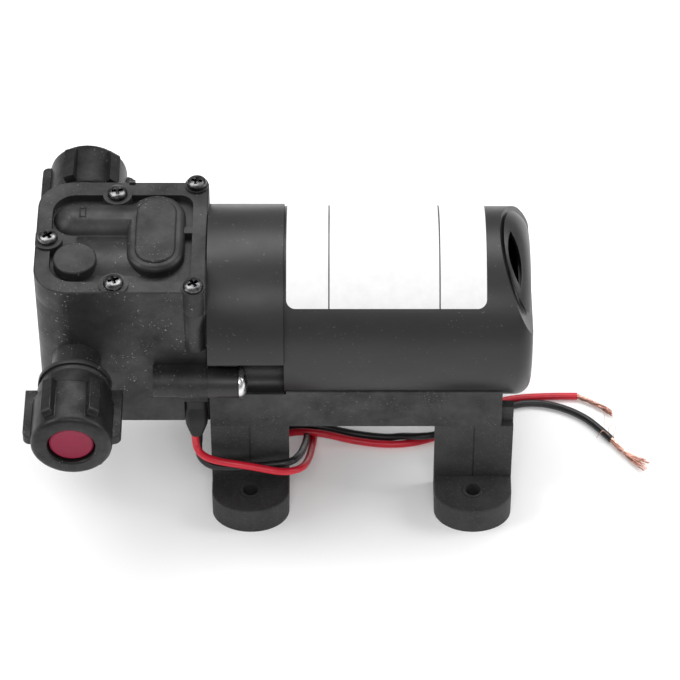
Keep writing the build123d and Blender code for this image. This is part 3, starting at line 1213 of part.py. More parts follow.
def main():
    save(head_body(), "head_body")
    save(bottom_tray(), "bottom_tray")
    save(tray_screws(), "tray_screws")
    save(head_cover(), "head_cover")
    save(cover_screws(), "cover_screws")
    save(cover_gasket(), "cover_gasket")
    save(valve_plate(), "valve_plate")
    for name, y, seat_z, away in (
        ("inlet_valve", -VALVE_Y, dish_roof, -1),
        ("outlet_valve", VALVE_Y, plate_top, 1),
    ):
        save(valve(y, seat_z, away), name)
        save(valve_clip(y, seat_z, away), f"{name}_clip")
        save(valve_spring(y, seat_z, away), f"{name}_spring")
    save(diaphragm(), "diaphragm")
    save(diaphragm_clamp(), "diaphragm_clamp")
    save(clamp_screw(), "clamp_screw")
    save(connecting_rod(), "connecting_rod")
    save(race(OUTER_RACE_RADIUS, OUTER_RACE_BORE), "crank_outer_race")
    save(race(INNER_RACE_RADIUS, CRANK_PIN_RADIUS + SEAT), "crank_inner_race")
    save(crank_balls(), "crank_balls")
    save(eccentric(), "eccentric")
    save(eccentric_screw(), "eccentric_screw")
    for name, side in (("near", -1), ("far", 1)):
        save(port_nut(side), f"{name}_port_nut")
        save(port_plug(side), f"{name}_port_plug")
    save(port_washers(), "port_washers")
    save(switch_membrane(), "switch_membrane")
    save(switch_guide(), "switch_guide")
    save(switch_plunger(), "switch_plunger")
    save(switch_spring(), "switch_spring")
    save(microswitch(), "microswitch")
    save(wire_gland(), "wire_gland")
    save(cord_tube(RED_ROUTE, LEAD_RADIUS, "red_lead"), "red_lead")
    save(cord_tube(BLACK_ROUTE, LEAD_RADIUS, "black_lead"), "black_lead")
    save(cord_tube(RED_STRAND_ROUTE, STRAND_RADIUS, "red_strands"), "red_strands")
    save(cord_tube(BLACK_STRAND_ROUTE, STRAND_RADIUS, "black_strands"), "black_strands")
    save(adapter_sleeve(), "adapter_sleeve")
    save(through_bolts(), "through_bolts")
    save(motor_screws(), "motor_screws")
    save(jacket(), "motor_jacket")
    save(dome_end(), "end_dome")
    save(label(), "label")
    save(motor_can(), "motor_can")
    save(front_bearing(), "front_bearing")
    save(rear_bush(), "rear_bush")
    save(end_plate(), "end_plate")
    save(brushes(), "brushes")
    save(brush_springs(), "brush_springs")
    save(motor_shaft(), "motor_shaft")
    save(armature_core(), "armature_core")
    save(armature_windings(), "armature_windings")
    save(commutator(), "commutator")
    save(magnets(), "magnets")
    save(cradle(), "cradle")
    save(cradle_screws(), "cradle_screws")
    for x_name, x_side in (("left", -1), ("right", 1)):
        for y_name, y_side in (("near", -1), ("far", 1)):
            save(foot(x_side, y_side), f"{y_name}_{x_name}_foot")


main()
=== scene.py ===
import math
import random

import bmesh
import bpy
from mathutils import Matrix, Vector


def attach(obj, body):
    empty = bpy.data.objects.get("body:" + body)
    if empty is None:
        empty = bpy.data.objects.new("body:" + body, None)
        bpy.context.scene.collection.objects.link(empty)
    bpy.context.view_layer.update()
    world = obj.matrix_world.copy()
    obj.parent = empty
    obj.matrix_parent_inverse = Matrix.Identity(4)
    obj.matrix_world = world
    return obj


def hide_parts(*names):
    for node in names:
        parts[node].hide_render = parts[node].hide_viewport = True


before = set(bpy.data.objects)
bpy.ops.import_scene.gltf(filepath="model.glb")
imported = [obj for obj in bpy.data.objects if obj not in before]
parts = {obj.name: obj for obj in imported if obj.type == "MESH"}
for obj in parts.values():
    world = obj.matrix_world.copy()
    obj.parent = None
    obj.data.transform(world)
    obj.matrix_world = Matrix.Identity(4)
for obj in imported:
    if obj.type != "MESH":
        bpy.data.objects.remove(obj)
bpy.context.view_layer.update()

scene = bpy.context.scene
scene.view_settings.view_transform = "Standard"


# The studio: a plain white sheet that the pump stands on, under one wide soft box and three smaller
# ones, seen from the near side and well above by a long lens.
soft_boxes = (  # name, place, the point it faces, width and depth, watts
    ("top_box", (-0.10, 0.45, 1.05), (0.0, 0.0, 0.05), (1.3, 0.6), 10.0),
    ("front_box", (0.0, -0.95, 1.15), (0.0, 0.0, 0.05), (0.7, 0.45), 5.0),
    ("left_box", (-1.00, -0.20, 0.80), (-0.05, 0.0, 0.05), (0.5, 0.5), 5.0),
    ("right_box", (1.00, 0.05, 0.70), (0.03, 0.0, 0.05), (0.5, 0.5), 5.0),
)
for name, place, aim, (width, depth), power in soft_boxes:
    light = bpy.data.lights.new(name, "AREA")
    light.shape = "RECTANGLE"
    light.size = width
    light.size_y = depth
    light.energy = power
    box = bpy.data.objects.new(name, light)
    box.location = place
    box.rotation_euler = (Vector(aim) - Vector(place)).to_track_quat("-Z", "Y").to_euler()
    scene.collection.objects.link(box)

pure_white = (1.0, 1.0, 1.0, 1.0)
world = bpy.data.worlds.new("studio_air")
world.use_nodes = True
air = world.node_tree.nodes["Background"]
air.inputs["Color"].default_value = pure_white
air.inputs["Strength"].default_value = 0.42
scene.world = world

sheet_size = 6.0
paper_tone = 0.90
paper_glow = 0.10
sheet_mesh = bpy.data.meshes.new("paper_sheet")
sheet = bmesh.new()
bmesh.ops.create_grid(sheet, x_segments=2, y_segments=2, size=sheet_size / 2)
sheet.to_mesh(sheet_mesh)
sheet.free()
floor = bpy.data.objects.new("paper_sheet", sheet_mesh)
scene.collection.objects.link(floor)
paper = bpy.data.materials.new("white_paper")
paper.use_nodes = True
paper_shader = paper.node_tree.nodes["Principled BSDF"]
paper_shader.inputs["Base Color"].default_value = (paper_tone, paper_tone, paper_tone, 1.0)
paper_shader.inputs["Roughness"].default_value = 0.95
paper_shader.inputs["Specular IOR Level"].default_value = 0.0
paper_shader.inputs["Emission Color"].default_value = pure_white
paper_shader.inputs["Emission Strength"].default_value = paper_glow
sheet_mesh.materials.append(paper)

lens = bpy.data.cameras.new("camera")
lens.sensor_width = 36.0
lens.lens = 195.9
lens.clip_start = 0.05
lens.clip_end = 20.0
camera = bpy.data.objects.new("camera", lens)
camera.location = (-0.00704, -0.8150, 0.9197)
camera.rotation_euler = (math.radians(43.0), 0.0, 0.0)
scene.collection.objects.link(camera)
scene.camera = camera


# The pump head: three black mouldings of glass-filled nylon, body, bottom tray and top cover, with the
# fine spark-eroded grain that a mould leaves, a bloom of handling marks and specks of dust.
def grey(tone):
    """An even grey as a colour."""
    return (tone,) * 3


def shaded(colour, factor):
    """The colour made darker or lighter by a factor."""
    return tuple(part * factor for part in colour)


def surface(name, colour, roughness, metallic=0.0, specular=0.5):
    """A material with its shader, and the object coordinates that its patterns follow."""
    material = bpy.data.materials.new(name)
    material.use_nodes = True
    tree = material.node_tree
    shader = tree.nodes["Principled BSDF"]
    shader.inputs["Base Color"].default_value = (*colour, 1.0)
    shader.inputs["Roughness"].default_value = roughness
    shader.inputs["Metallic"].default_value = metallic
    shader.inputs["Specular IOR Level"].default_value = specular
    place = tree.nodes.new("ShaderNodeTexCoord").outputs["Object"]
    return material, tree, shader, place


def noise(tree, place, scale, detail=3.0, roughness=0.55):
    """A cloudy pattern from 0 to 1; scale is in features for each metre."""
    node = tree.nodes.new("ShaderNodeTexNoise")
    node.inputs["Scale"].default_value = scale
    node.inputs["Detail"].default_value = detail
    node.inputs["Roughness"].default_value = roughness
    tree.links.new(place, node.inputs["Vector"])
    return node.outputs["Fac"]


def ramp(tree, value, *stops):
    """A colour ramp; each stop is a place from 0 to 1 and a colour."""
    node = tree.nodes.new("ShaderNodeValToRGB")
    marks = node.color_ramp.elements
    while len(marks) < len(stops):
        marks.new(0.5)
    for mark, (position, colour) in zip(marks, stops):
        mark.position = position
        mark.color = (*colour, 1.0)
    tree.links.new(value, node.inputs["Fac"])
    return node.outputs["Color"]


def mask(tree, value, start, end, most=1.0):
    """Black up to the start, rising to the most at the end."""
    return ramp(tree, value, (start, grey(0.0)), (end, grey(most)))


def mottled(tree, value, colour, darker, lighter, start=0.3, end=0.7):
    """The colour clouded by a pattern, between a darker and a lighter share of it."""
    return ramp(tree, value, (start, shaded(colour, darker)), (end, shaded(colour, lighter)))


def spread(tree, value, low, high):
    """The value's middle range stretched between two numbers."""
    node = tree.nodes.new("ShaderNodeMapRange")
    node.inputs["From Min"].default_value = 0.3
    node.inputs["From Max"].default_value = 0.7
    node.inputs["To Min"].default_value = low
    node.inputs["To Max"].default_value = high
    tree.links.new(value, node.inputs["Value"])
    return node.outputs["Result"]


def bump(tree, shader, height, distance, strength):
    """A relief on the surface, of the given depth in metres."""
    node = tree.nodes.new("ShaderNodeBump")
    node.inputs["Distance"].default_value = distance
    node.inputs["Strength"].default_value = strength
    tree.links.new(height, node.inputs["Height"])
    tree.links.new(node.outputs["Normal"], shader.inputs["Normal"])


def mixed(tree, share, first, second, blend="MIX"):
    """Two colours mixed; each value may be a number, a colour or another node's output."""
    node = tree.nodes.new("ShaderNodeMix")
    node.data_type = "RGBA"
    node.blend_type = blend
    sockets = [socket for socket in node.inputs if socket.enabled]
    for socket, value in zip(sockets, (share, first, second)):
        if isinstance(value, (int, float)):
            socket.default_value = value
        elif isinstance(value, tuple):
            socket.default_value = (*value, 1.0)
        else:
            tree.links.new(value, socket)
    return [socket for socket in node.outputs if socket.enabled][0]


def moulded(name, tone, roughness, dust, tint=grey(1.0), grain=0.35, specular=0.38):
    """Moulded plastic: clouded tone, pale dust in clusters, uneven sheen and a fine grain."""
    colour = shaded(tint, tone)
    material, tree, shader, place = surface(name, colour, roughness, specular=specular)
    clouds = noise(tree, place, scale=55.0, detail=6.0, roughness=0.62)
    cloudy = mottled(tree, clouds, colour, 0.65, 1.6, start=0.35, end=0.65)
    specks = mask(tree, noise(tree, place, scale=1500.0, detail=1.0, roughness=0.3), 0.70, 0.75)
    clusters = mask(tree, noise(tree, place, scale=90.0), 0.46, 0.62, dust)
    dusted = mixed(tree, 1.0, specks, clusters, "MULTIPLY")
    tree.links.new(mixed(tree, dusted, cloudy, grey(0.22)), shader.inputs["Base Color"])
    smear = noise(tree, place, scale=120.0, detail=6.0, roughness=0.65)
    tree.links.new(spread(tree, smear, roughness - 0.09, roughness + 0.11), shader.inputs["Roughness"])
    wear = noise(tree, place, scale=75.0, detail=8.0, roughness=0.68)
    tree.links.new(spread(tree, wear, specular - 0.20, specular + 0.24), shader.inputs["Specular IOR Level"])
    bump(tree, shader, noise(tree, place, scale=2600.0, detail=2.0), 0.00002, grain)
    return material


def dress(material, *names):
    """Gives CAD pieces their finish."""
    for name in names:
        slots = parts[name].data.materials
        slots.clear()
        slots.append(material)


def bevelled(thing, width, segments=3, angle=35.0):
    """A live bevel on the edges of an object that turn by more than an angle."""
    edge = thing.modifiers.new("edge", "BEVEL")
    edge.width = width
    edge.segments = segments
    edge.limit_method = "ANGLE"
    edge.angle_limit = math.radians(angle)


def round_edges(width, *names):
    """Rounds the sharp edges of CAD pieces as a mould does."""
    for name in names:
        weld = parts[name].modifiers.new("weld", "WELD")
        weld.merge_threshold = 0.000002
        bevelled(parts[name], width)


head_pieces = ("head_body", "bottom_tray", "head_cover")
head_plastic = moulded("head_plastic", tone=0.013, roughness=0.46, dust=1.0)
dress(head_plastic, *head_pieces)
round_edges(0.0003, *head_pieces)


# Two marks that the mould leaves on the cover: the outline of a small insert on the half-round gallery,
# whose fine groove is drawn as a thin near-black strip of painted shade, and a stub of the runner on the
# far edge, of the cover's own nylon.
def piece(name, mesh, material, body, slot, *replaced):
    """Makes a finished mesh a piece of the pump: its finish and the body it rides on; the slot is not used.
    """
    data = bpy.data.meshes.new(name)
    bmesh.ops.recalc_face_normals(mesh, faces=mesh.faces)
    mesh.to_mesh(data)
    mesh.free()
    data.materials.append(material)
    for face in data.polygons:
        face.use_smooth = True
    made = bpy.data.objects.new(name, data)
    scene.collection.objects.link(made)
    made.data.set_sharp_from_angle(angle=math.radians(32.0))
    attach(made, body)
    if replaced:
        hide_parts(*replaced)
    return made


gallery_radius = 0.0074
gallery_axis = Vector((0, 0.0096, 0.0875))
insert_x = -0.0880
insert_length = 0.0022
insert_arc = (-14.0, 18.0)
insert_shade_line = 0.00045
insert_proud = 0.00004
insert_thick = 0.00008
insert_left = insert_x - insert_length / 2
insert_right = insert_x + insert_length / 2
insert_low, insert_high = (math.radians(value) for value in insert_arc)
line_angle = insert_shade_line / gallery_radius
insert_sides = (  # each from x to x and from angle to angle
    (insert_left, insert_left + insert_shade_line, insert_low, insert_high),
    (insert_right - insert_shade_line, insert_right, insert_low, insert_high),
    (insert_left, insert_right, insert_low, insert_low + line_angle),
    (insert_left, insert_right, insert_high - line_angle, insert_high),
)
insert = bmesh.new()
for x0, x1, angle0, angle1 in insert_sides:
    reach = gallery_radius + insert_proud
    for vert in bmesh.ops.create_grid(insert, x_segments=2, y_segments=8, size=0.5)["verts"]:
        angle = angle0 + (vert.co.y + 0.5) * (angle1 - angle0)
        x = x0 + (vert.co.x + 0.5) * (x1 - x0)
        vert.co = gallery_axis + Vector((x, -reach * math.sin(angle), reach * math.cos(angle)))
bmesh.ops.solidify(insert, geom=insert.faces, thickness=insert_thick)
# The outline strip's near-black finish is painted shade of the groove round the insert, not a colour of the
# cover.
insert_shadow = moulded("insert_shade_line", tone=0.003, roughness=0.7, dust=0.0)
piece("cover_insert_painted_shade", insert, insert_shadow, "pump", "head_plastic")

stub_size = (0.0020, 0.0014, 0.0012)
stub_place = (-0.0730, 0.0239, 0.0936)
stub = bmesh.new()
stub_box = Matrix.Translation(stub_place) @ Matrix.Diagonal((*stub_size, 1.0))
bmesh.ops.create_cube(stub, size=1.0, matrix=stub_box)
bmesh.ops.bevel(
    stub, geom=list(stub.edges), offset=0.0003, segments=2, affect="EDGES", profile=0.5, material=-1,
)
piece("cover_runner_stub", stub, head_plastic, "pump", "head_plastic")


# Five pan head screws hold the cover: zinc steel passivated black and oiled, with a rolled washer
# face and a deep cross recess whose flanks catch the light.
def stretched(tree, place, x, y, z):
    """The same coordinates, drawn out along one way by unlike scales."""
    node = tree.nodes.new("ShaderNodeMapping")
    node.inputs["Scale"].default_value = (x, y, z)
    tree.links.new(place, node.inputs["Vector"])
    return node.outputs["Vector"]


def worn_steel(name, colour, roughness, scratch=0.3, grime=grey(0.02), grime_share=0.5):
    """Bare metal with fine scratches along X, and patches of grime or of polish."""
    material, tree, shader, place = surface(name, colour, roughness, metallic=1.0)
    patches = mask(tree, noise(tree, place, scale=420.0, detail=4.0), 0.42, 0.70, grime_share)
    tree.links.new(mixed(tree, patches, colour, grime), shader.inputs["Base Color"])
    fine = noise(tree, stretched(tree, place, 1.0, 6.0, 6.0), scale=900.0)
    tree.links.new(spread(tree, fine, roughness - 0.08, roughness + 0.14), shader.inputs["Roughness"])
    bump(tree, shader, fine, 0.00002, scratch)
    return material


def turned(profile, steps=40):
    """A closed ring of faces: a profile of radius and height spun once round Z."""
    mesh = bmesh.new()
    corners = [mesh.verts.new((radius, 0, height)) for radius, height in profile]
    edges = [mesh.edges.new(pair) for pair in zip(corners, corners[1:])]
    bmesh.ops.spin(
        mesh, geom=corners + edges, cent=(0, 0, 0), axis=(0, 0, 1), angle=math.tau, steps=steps,
        use_merge=True, use_duplicate=False,
    )
    bmesh.ops.remove_doubles(mesh, verts=mesh.verts, dist=0.0000005)
    return mesh


def cut(name, body_mesh, cutter_mesh, operation="DIFFERENCE"):
    """One mesh taken from, or joined to, another, as a new mesh under work."""
    pair = []
    for label, mesh in ((name + "_blank", body_mesh), (name + "_tool", cutter_mesh)):
        bmesh.ops.recalc_face_normals(mesh, faces=mesh.faces)
        data = bpy.data.meshes.new(label)
        mesh.to_mesh(data)
        mesh.free()
        pair.append(bpy.data.objects.new(label, data))
        scene.collection.objects.link(pair[-1])
    blank, tool = pair
    action = blank.modifiers.new("cut", "BOOLEAN")
    action.operation = operation
    action.object = tool
    action.solver = "EXACT"
    made = bpy.data.meshes.new_from_object(blank.evaluated_get(bpy.context.evaluated_depsgraph_get()))
    result = bmesh.new()
    result.from_mesh(made)
    for leftover in pair:
        bpy.data.objects.remove(leftover, do_unlink=True)
    return result


def placed(mesh, matrix):
    """The mesh under work moved by a matrix."""
    bmesh.ops.transform(mesh, matrix=matrix, verts=mesh.verts)
    return mesh


def gathered(meshes):
    """Several meshes under work made one."""
    whole = bmesh.new()
    for mesh in meshes:
        data = bpy.data.meshes.new("part")
        mesh.to_mesh(data)
        mesh.free()
        whole.from_mesh(data)
        bpy.data.meshes.remove(data)
    return whole


def turn_about(axis, degrees):
    """The matrix of a turn about X, Y or Z."""
    return Matrix.Rotation(math.radians(degrees), 4, axis)


screw_seat_z = 0.0940
screw_top = 0.0018
screw_head = (
    (0.0, -0.0200), (0.0017, -0.0200), (0.0017, -0.0001), (0.0031, 0.0), (0.0032, 0.0003),
    (0.00315, 0.0008), (0.0029, 0.0013), (0.0024, 0.0016), (0.0015, 0.00178), (0.0, screw_top),
)
screw_spots = (  # x, y and the turn of the recess in degrees
    (-0.0775, 0.0181, 8.0), (-0.0986, -0.0016, 37.0), (-0.0772, -0.0212, 20.0),
    (-0.0525, 0.0226, -12.0), (-0.0525, -0.0226, 31.0),
)
wing_reach = 0.0025
wing_width = 0.00155
wing_foot_radius = 0.3
wing_mouth_radius = math.sqrt(0.5)
recess_depth = 0.0015


def cross_recess():
    """The driver recess: two crossed wings that taper downwards."""
    wings = []
    for turn in (0.0, 90.0):
        wing = bmesh.new()
        bmesh.ops.create_cone(
            wing, cap_ends=True, segments=4, radius1=wing_foot_radius, radius2=wing_mouth_radius, depth=1.0,
            matrix=turn_about("Z", 45.0),
        )
        size = Matrix.Diagonal((wing_reach * 2, wing_width, recess_depth * 2, 1.0))
        placed(wing, turn_about("Z", turn) @ Matrix.Translation((0, 0, screw_top)) @ size)
        wings.append(wing)
    return cut("recess", *wings, operation="UNION")


black_steel = worn_steel(
    "black_steel", (0.055, 0.055, 0.058), 0.18, scratch=1.0, grime=grey(0.30), grime_share=0.7,
)
screws = []
for x, y, turn in screw_spots:
    screw = cut("screw", turned(screw_head), cross_recess())
    screws.append(placed(screw, Matrix.Translation((x, y, screw_seat_z)) @ turn_about("Z", turn)))
piece("cover_pan_screws", gathered(screws), black_steel, "pump", "black_steel", "cover_screws")
dress(black_steel, "tray_screws", "cradle_screws", "eccentric_screw")


# Inside the head: rubber gasket, valve plate, two mushroom valves on their springs and clips, and the
# rubber diaphragm clamped to the connecting rod that rides on the crank bearing.
def soft_rubber(name, colour, roughness=0.7):
    """Matt rubber with a mottled tone and a fine grain."""
    material, tree, shader, place = surface(name, colour, roughness, specular=0.3)
    blotches = noise(tree, place, scale=260.0, detail=5.0)
    tree.links.new(mottled(tree, blotches, colour, 0.75, 1.25), shader.inputs["Base Color"])
    bump(tree, shader, noise(tree, place, scale=1800.0), 0.00003, 0.4)
    return material


seal_rubber = soft_rubber("seal_rubber", grey(0.018))
inner_plastic = moulded(
    "inner_plastic", tone=0.55, roughness=0.45, dust=0.1, tint=(1.0, 0.97, 0.90), grain=0.25,
)
turned_aluminium = worn_steel(
    "turned_aluminium", (0.78, 0.78, 0.80), 0.30, scratch=0.5, grime=grey(0.4), grime_share=0.2,
)
bright_steel = worn_steel(
    "bright_steel", (0.62, 0.61, 0.60), 0.16, scratch=0.15, grime=(0.22, 0.21, 0.20), grime_share=0.35,
)
spring_steel = worn_steel("spring_steel", (0.42, 0.41, 0.40), 0.28, grime=grey(0.12), grime_share=0.3)
dress(seal_rubber, "cover_gasket", "inlet_valve", "outlet_valve", "diaphragm", "port_washers")
dress(inner_plastic, "valve_plate")
dress(turned_aluminium, "diaphragm_clamp", "connecting_rod")
dress(bright_steel, "clamp_screw", "crank_outer_race", "crank_inner_race", "crank_balls", "eccentric")
dress(
    spring_steel, "inlet_valve_spring", "outlet_valve_spring", "inlet_valve_clip", "outlet_valve_clip",
    "switch_spring", "brush_springs",
)


# The pressure switch under the inlet side: rubber membrane, guide ring, plunger and microswitch, stacked
# in a bore of the head and held from below by the bottom tray.
dress(seal_rubber, "switch_membrane")
dress(inner_plastic, "switch_guide", "switch_plunger", "microswitch")


# Two ribbed union nuts on the ports: a turned-looking barrel with six grip ribs whose front ends
# are rounded off, moulded in the same black nylon.
port_centre = Matrix.Translation((-0.0900, 0, 0.0625))
port_frames = {"near": port_centre @ turn_about("X", 90.0), "far": port_centre @ turn_about("X", -90.0)}
nut_clocks = {"near": 0.0, "far": 9.0}
nut_profile = (
    (0.0092, 0.0387), (0.0117, 0.0387), (0.0117, 0.0436), (0.0123, 0.0440), (0.0127, 0.0445),
    (0.0127, 0.0590), (0.0125, 0.0600), (0.0120, 0.0606), (0.0111, 0.0610), (0.0080, 0.0610),
    (0.0074, 0.0605), (0.0074, 0.0575), (0.0092, 0.0575), (0.0092, 0.0387),
)
rib_count = 6
rib_width = 0.0036
rib_root = 0.0100
rib_reach = 0.0152
rib_end = 0.0582
rib_start = 0.0440
long_rib_start = 0.0387
rib_round = 0.0022
rib_round_steps = 6


def grip_rib(start, turn):
    """One grip rib along Z, its outer front corner well rounded."""
    rib = bmesh.new()
    profile = [(rib_root, start), (rib_reach, start)]
    for step in range(rib_round_steps + 1):
        angle = math.radians(90.0 / rib_round_steps * step)
        inwards = rib_round * (1 - math.cos(angle))
        backwards = rib_round * (1 - math.sin(angle))
        profile.append((rib_reach - inwards, rib_end - backwards))
    profile.append((rib_root, rib_end))
    side = rib.faces.new([rib.verts.new((x, -rib_width / 2, z)) for x, z in profile])
    grown = bmesh.ops.extrude_face_region(rib, geom=[side])["geom"]
    moved = [item for item in grown if isinstance(item, bmesh.types.BMVert)]
    bmesh.ops.translate(rib, vec=(0, rib_width, 0), verts=moved)
    return placed(rib, turn_about("Z", turn))


def union_nut(clock):
    """The barrel joined to its ribs, the two on one line across it long; clock turns them all."""
    nut = turned(nut_profile, 72)
    for step in range(rib_count):
        turn = 360.0 / rib_count * step
        start = long_rib_start if turn % 180 == 0 else rib_start
        nut = cut("nut", nut, grip_rib(start, turn + clock), operation="UNION")
    return nut


nut_plastic = moulded("nut_plastic", tone=0.007, roughness=0.40, dust=0.5, specular=0.28)
for name, port in port_frames.items():
    nut = placed(union_nut(nut_clocks[name]), port)
    made = piece(name + "_union_nut", nut, nut_plastic, name + "_nut", "nut_plastic", name + "_port_nut")
    bevelled(made, 0.00028, segments=2, angle=40.0)


# The soft transport plugs in the ports: magenta vinyl, pressed in on a flange under the nut, with a
# shallow dished face.
def soft_vinyl(name, colour, roughness):
    """Soft plastic that lets a little light into it."""
    material, tree, shader, place = surface(name, colour, roughness, specular=0.25)
    blotches = noise(tree, place, scale=90.0, detail=4.0)
    tree.links.new(mottled(tree, blotches, colour, 0.82, 1.15), shader.inputs["Base Color"])
    shader.inputs["Subsurface Weight"].default_value = 0.03
    shader.inputs["Subsurface Radius"].default_value = (0.002, 0.0006, 0.0008)
    bump(tree, shader, noise(tree, place, scale=1500.0, detail=2.0), 0.00002, 0.25)
    return material


plug_profile = (
    (0.0, 0.0482), (0.0046, 0.0482), (0.0047, 0.0552), (0.0086, 0.0552), (0.0086, 0.0572),
    (0.0070, 0.0574), (0.0070, 0.0591), (0.0068, 0.0595), (0.0063, 0.0597), (0.0058, 0.0595),
    (0.0035, 0.0594), (0.0, 0.0594),
)
plug_vinyl = soft_vinyl("plug_plastic", (0.25, 0.008, 0.040), 0.46)
for name, port in port_frames.items():
    plug = placed(turned(plug_profile, 56), port)
    piece(name + "_transport_plug", plug, plug_vinyl, name + "_plug", "plug_plastic", name + "_port_plug")


# Two long bolts tie the head to the adapter sleeve, one on each side: bright zinc steel, their domed
# heads polished by the driver and seated on the sleeve's bosses.
bolt_profile = (
    (0.0, -0.0266), (0.0020, -0.0266), (0.0020, -0.0001), (0.0046, 0.0), (0.0050, 0.0003),
    (0.0050, 0.0009), (0.0047, 0.0015), (0.0041, 0.0021), (0.0032, 0.0026), (0.0020, 0.0029),
    (0.0, 0.0030),
)
bolt_seat_x = -0.0392
bolt_y = 0.0275
bolt_z = 0.0557
bolts = []
for side in (-1, 1):
    spot = Matrix.Translation((bolt_seat_x, side * bolt_y, bolt_z)) @ turn_about("Y", 90.0)
    bolts.append(placed(turned(bolt_profile, 48), spot))
polished_steel = worn_steel(
    "polished_steel", (0.72, 0.72, 0.73), 0.20, scratch=0.35, grime=grey(0.45), grime_share=0.4,
)
piece("domed_through_bolts", gathered(bolts), polished_steel, "pump", "bright_steel", "through_bolts")
dress(bright_steel, "motor_screws")


# The rubber gland that both leads pass through, a tapered plug pressed up into the bottom of the head
# with a rounded-square section.
gland_rubber = soft_rubber("gland_rubber", grey(0.014), 0.50)
gland_x = -0.0530
gland_front = -0.0244
gland_steps = 32
gland_squareness = 3.2
gland_rings = (  # height, half width, depth and how far the front stands proud
    (0.0428, 0.00366, 0.0050, 0.0000), (0.0395, 0.00366, 0.0052, 0.0001), (0.0380, 0.00366, 0.0064, 0.0012),
    (0.0365, 0.00368, 0.0072, 0.0022), (0.0344, 0.00366, 0.0074, 0.0026), (0.0334, 0.00350, 0.0073, 0.0028),
    (0.0318, 0.00280, 0.0067, 0.0032), (0.0305, 0.00220, 0.0060, 0.00355), (0.0300, 0.00190, 0.0056, 0.00345),
)
gland = bmesh.new()
rings = []
for height, half_x, depth, proud in gland_rings:
    ring = []
    middle_y = gland_front - proud + depth / 2
    for step in range(gland_steps):
        angle = math.tau * step / gland_steps
        x, y = math.cos(angle), math.sin(angle)
        fill = (abs(x) ** gland_squareness + abs(y) ** gland_squareness) ** (-1 / gland_squareness)
        ring.append(gland.verts.new((gland_x + half_x * fill * x, middle_y + depth / 2 * fill * y, height)))
    rings.append(ring)
for upper, lower in zip(rings, rings[1:]):
    for step in range(gland_steps):
        after = (step + 1) % gland_steps
        gland.faces.new((upper[step], upper[after], lower[after], lower[step]))
for end in (rings[0], rings[-1]):
    gland.faces.new(end)
piece("tapered_gland", gland, gland_rubber, "pump", "gland_rubber", "wire_gland")


# The red and the black lead: soft stranded copper in smooth PVC, held in the gland. They follow the
# cradle, loop once on the table under the motor and run out to stripped ends.
lead_radius = 0.0012
red_route = (
    (-0.0536, -0.0263, 0.0300), (-0.0536, -0.0263, 0.0264), (-0.0530, -0.0280, 0.0238),
    (-0.0503, -0.0303, 0.0228), (-0.0458, -0.0319, 0.0226), (-0.0396, -0.0326, 0.0220),
    (-0.0326, -0.0330, 0.0206), (-0.0250, -0.0335, 0.0190), (-0.0192, -0.0300, 0.0170),
    (-0.0172, -0.0220, 0.0125), (-0.0164, -0.0130, 0.0072), (-0.0158, -0.0050, 0.0026),
    (-0.0154, 0.0030, 0.0013), (-0.0154, 0.0124, 0.0013), (-0.0218, 0.0194, 0.0013),
    (-0.0313, 0.0195, 0.0013), (-0.0380, 0.0128, 0.0013), (-0.0379, 0.0034, 0.0013),
    (-0.0312, -0.0031, 0.0013), (-0.0213, -0.0033, 0.0052), (-0.0123, -0.0045, 0.0053),
    (-0.0028, -0.0042, 0.0013), (0.0090, -0.0061, 0.0013), (0.0195, -0.0048, 0.0013),
    (0.0283, -0.0006, 0.0013), (0.0366, 0.0072, 0.0013), (0.0462, 0.0139, 0.0013),
    (0.0593, 0.0158, 0.0013), (0.0723, 0.0157, 0.0013),
)
black_route = (
    (-0.0524, -0.0236, 0.0300), (-0.0524, -0.0236, 0.0254), (-0.0529, -0.0250, 0.0212),
    (-0.0519, -0.0273, 0.0184), (-0.0485, -0.0292, 0.0172), (-0.0434, -0.0300, 0.0172),
    (-0.0368, -0.0300, 0.0178), (-0.0296, -0.0304, 0.0192), (-0.0226, -0.0303, 0.0204),
    (-0.0198, -0.0240, 0.0172), (-0.0188, -0.0160, 0.0118), (-0.0180, -0.0085, 0.0066),
    (-0.0178, -0.0010, 0.0026), (-0.0181, 0.0060, 0.0013), (-0.0188, 0.0120, 0.0013),
    (-0.0238, 0.0165, 0.0013), (-0.0304, 0.0167, 0.0013), (-0.0352, 0.0119, 0.0013),
    (-0.0351, 0.0051, 0.0013), (-0.0302, 0.0001, 0.0013), (-0.0213, -0.0003, 0.0052),
    (-0.0123, -0.0015, 0.0053), (-0.0028, -0.0011, 0.0013), (0.0084, -0.0029, 0.0014),
    (0.0135, -0.0032, 0.0026), (0.0180, -0.0053, 0.0047), (0.0243, -0.0054, 0.0054),
    (0.0328, -0.0018, 0.0048), (0.0410, 0.0054, 0.0015), (0.0486, 0.0111, 0.0013),
    (0.0570, 0.0131, 0.0013), (0.0660, 0.0112, 0.0013), (0.0738, 0.0068, 0.0013),
    (0.0790, 0.0014, 0.0013), (0.0828, -0.0036, 0.0013),
)
red_strand_route = (red_route[-1], (0.0788, 0.0124, 0.0012), (0.0846, 0.0076, 0.0011))
black_strand_route = (
    black_route[-1], (0.0856, -0.0081, 0.0012), (0.0902, -0.0124, 0.0011), (0.0946, -0.0156, 0.0010),
)
red_strays = (
    ((0.0800, 0.0113, 0.0014), (0.0806, 0.0073, 0.0030), (0.0810, 0.0033, 0.0034), (0.0806, 0.0002, 0.0032)),
)
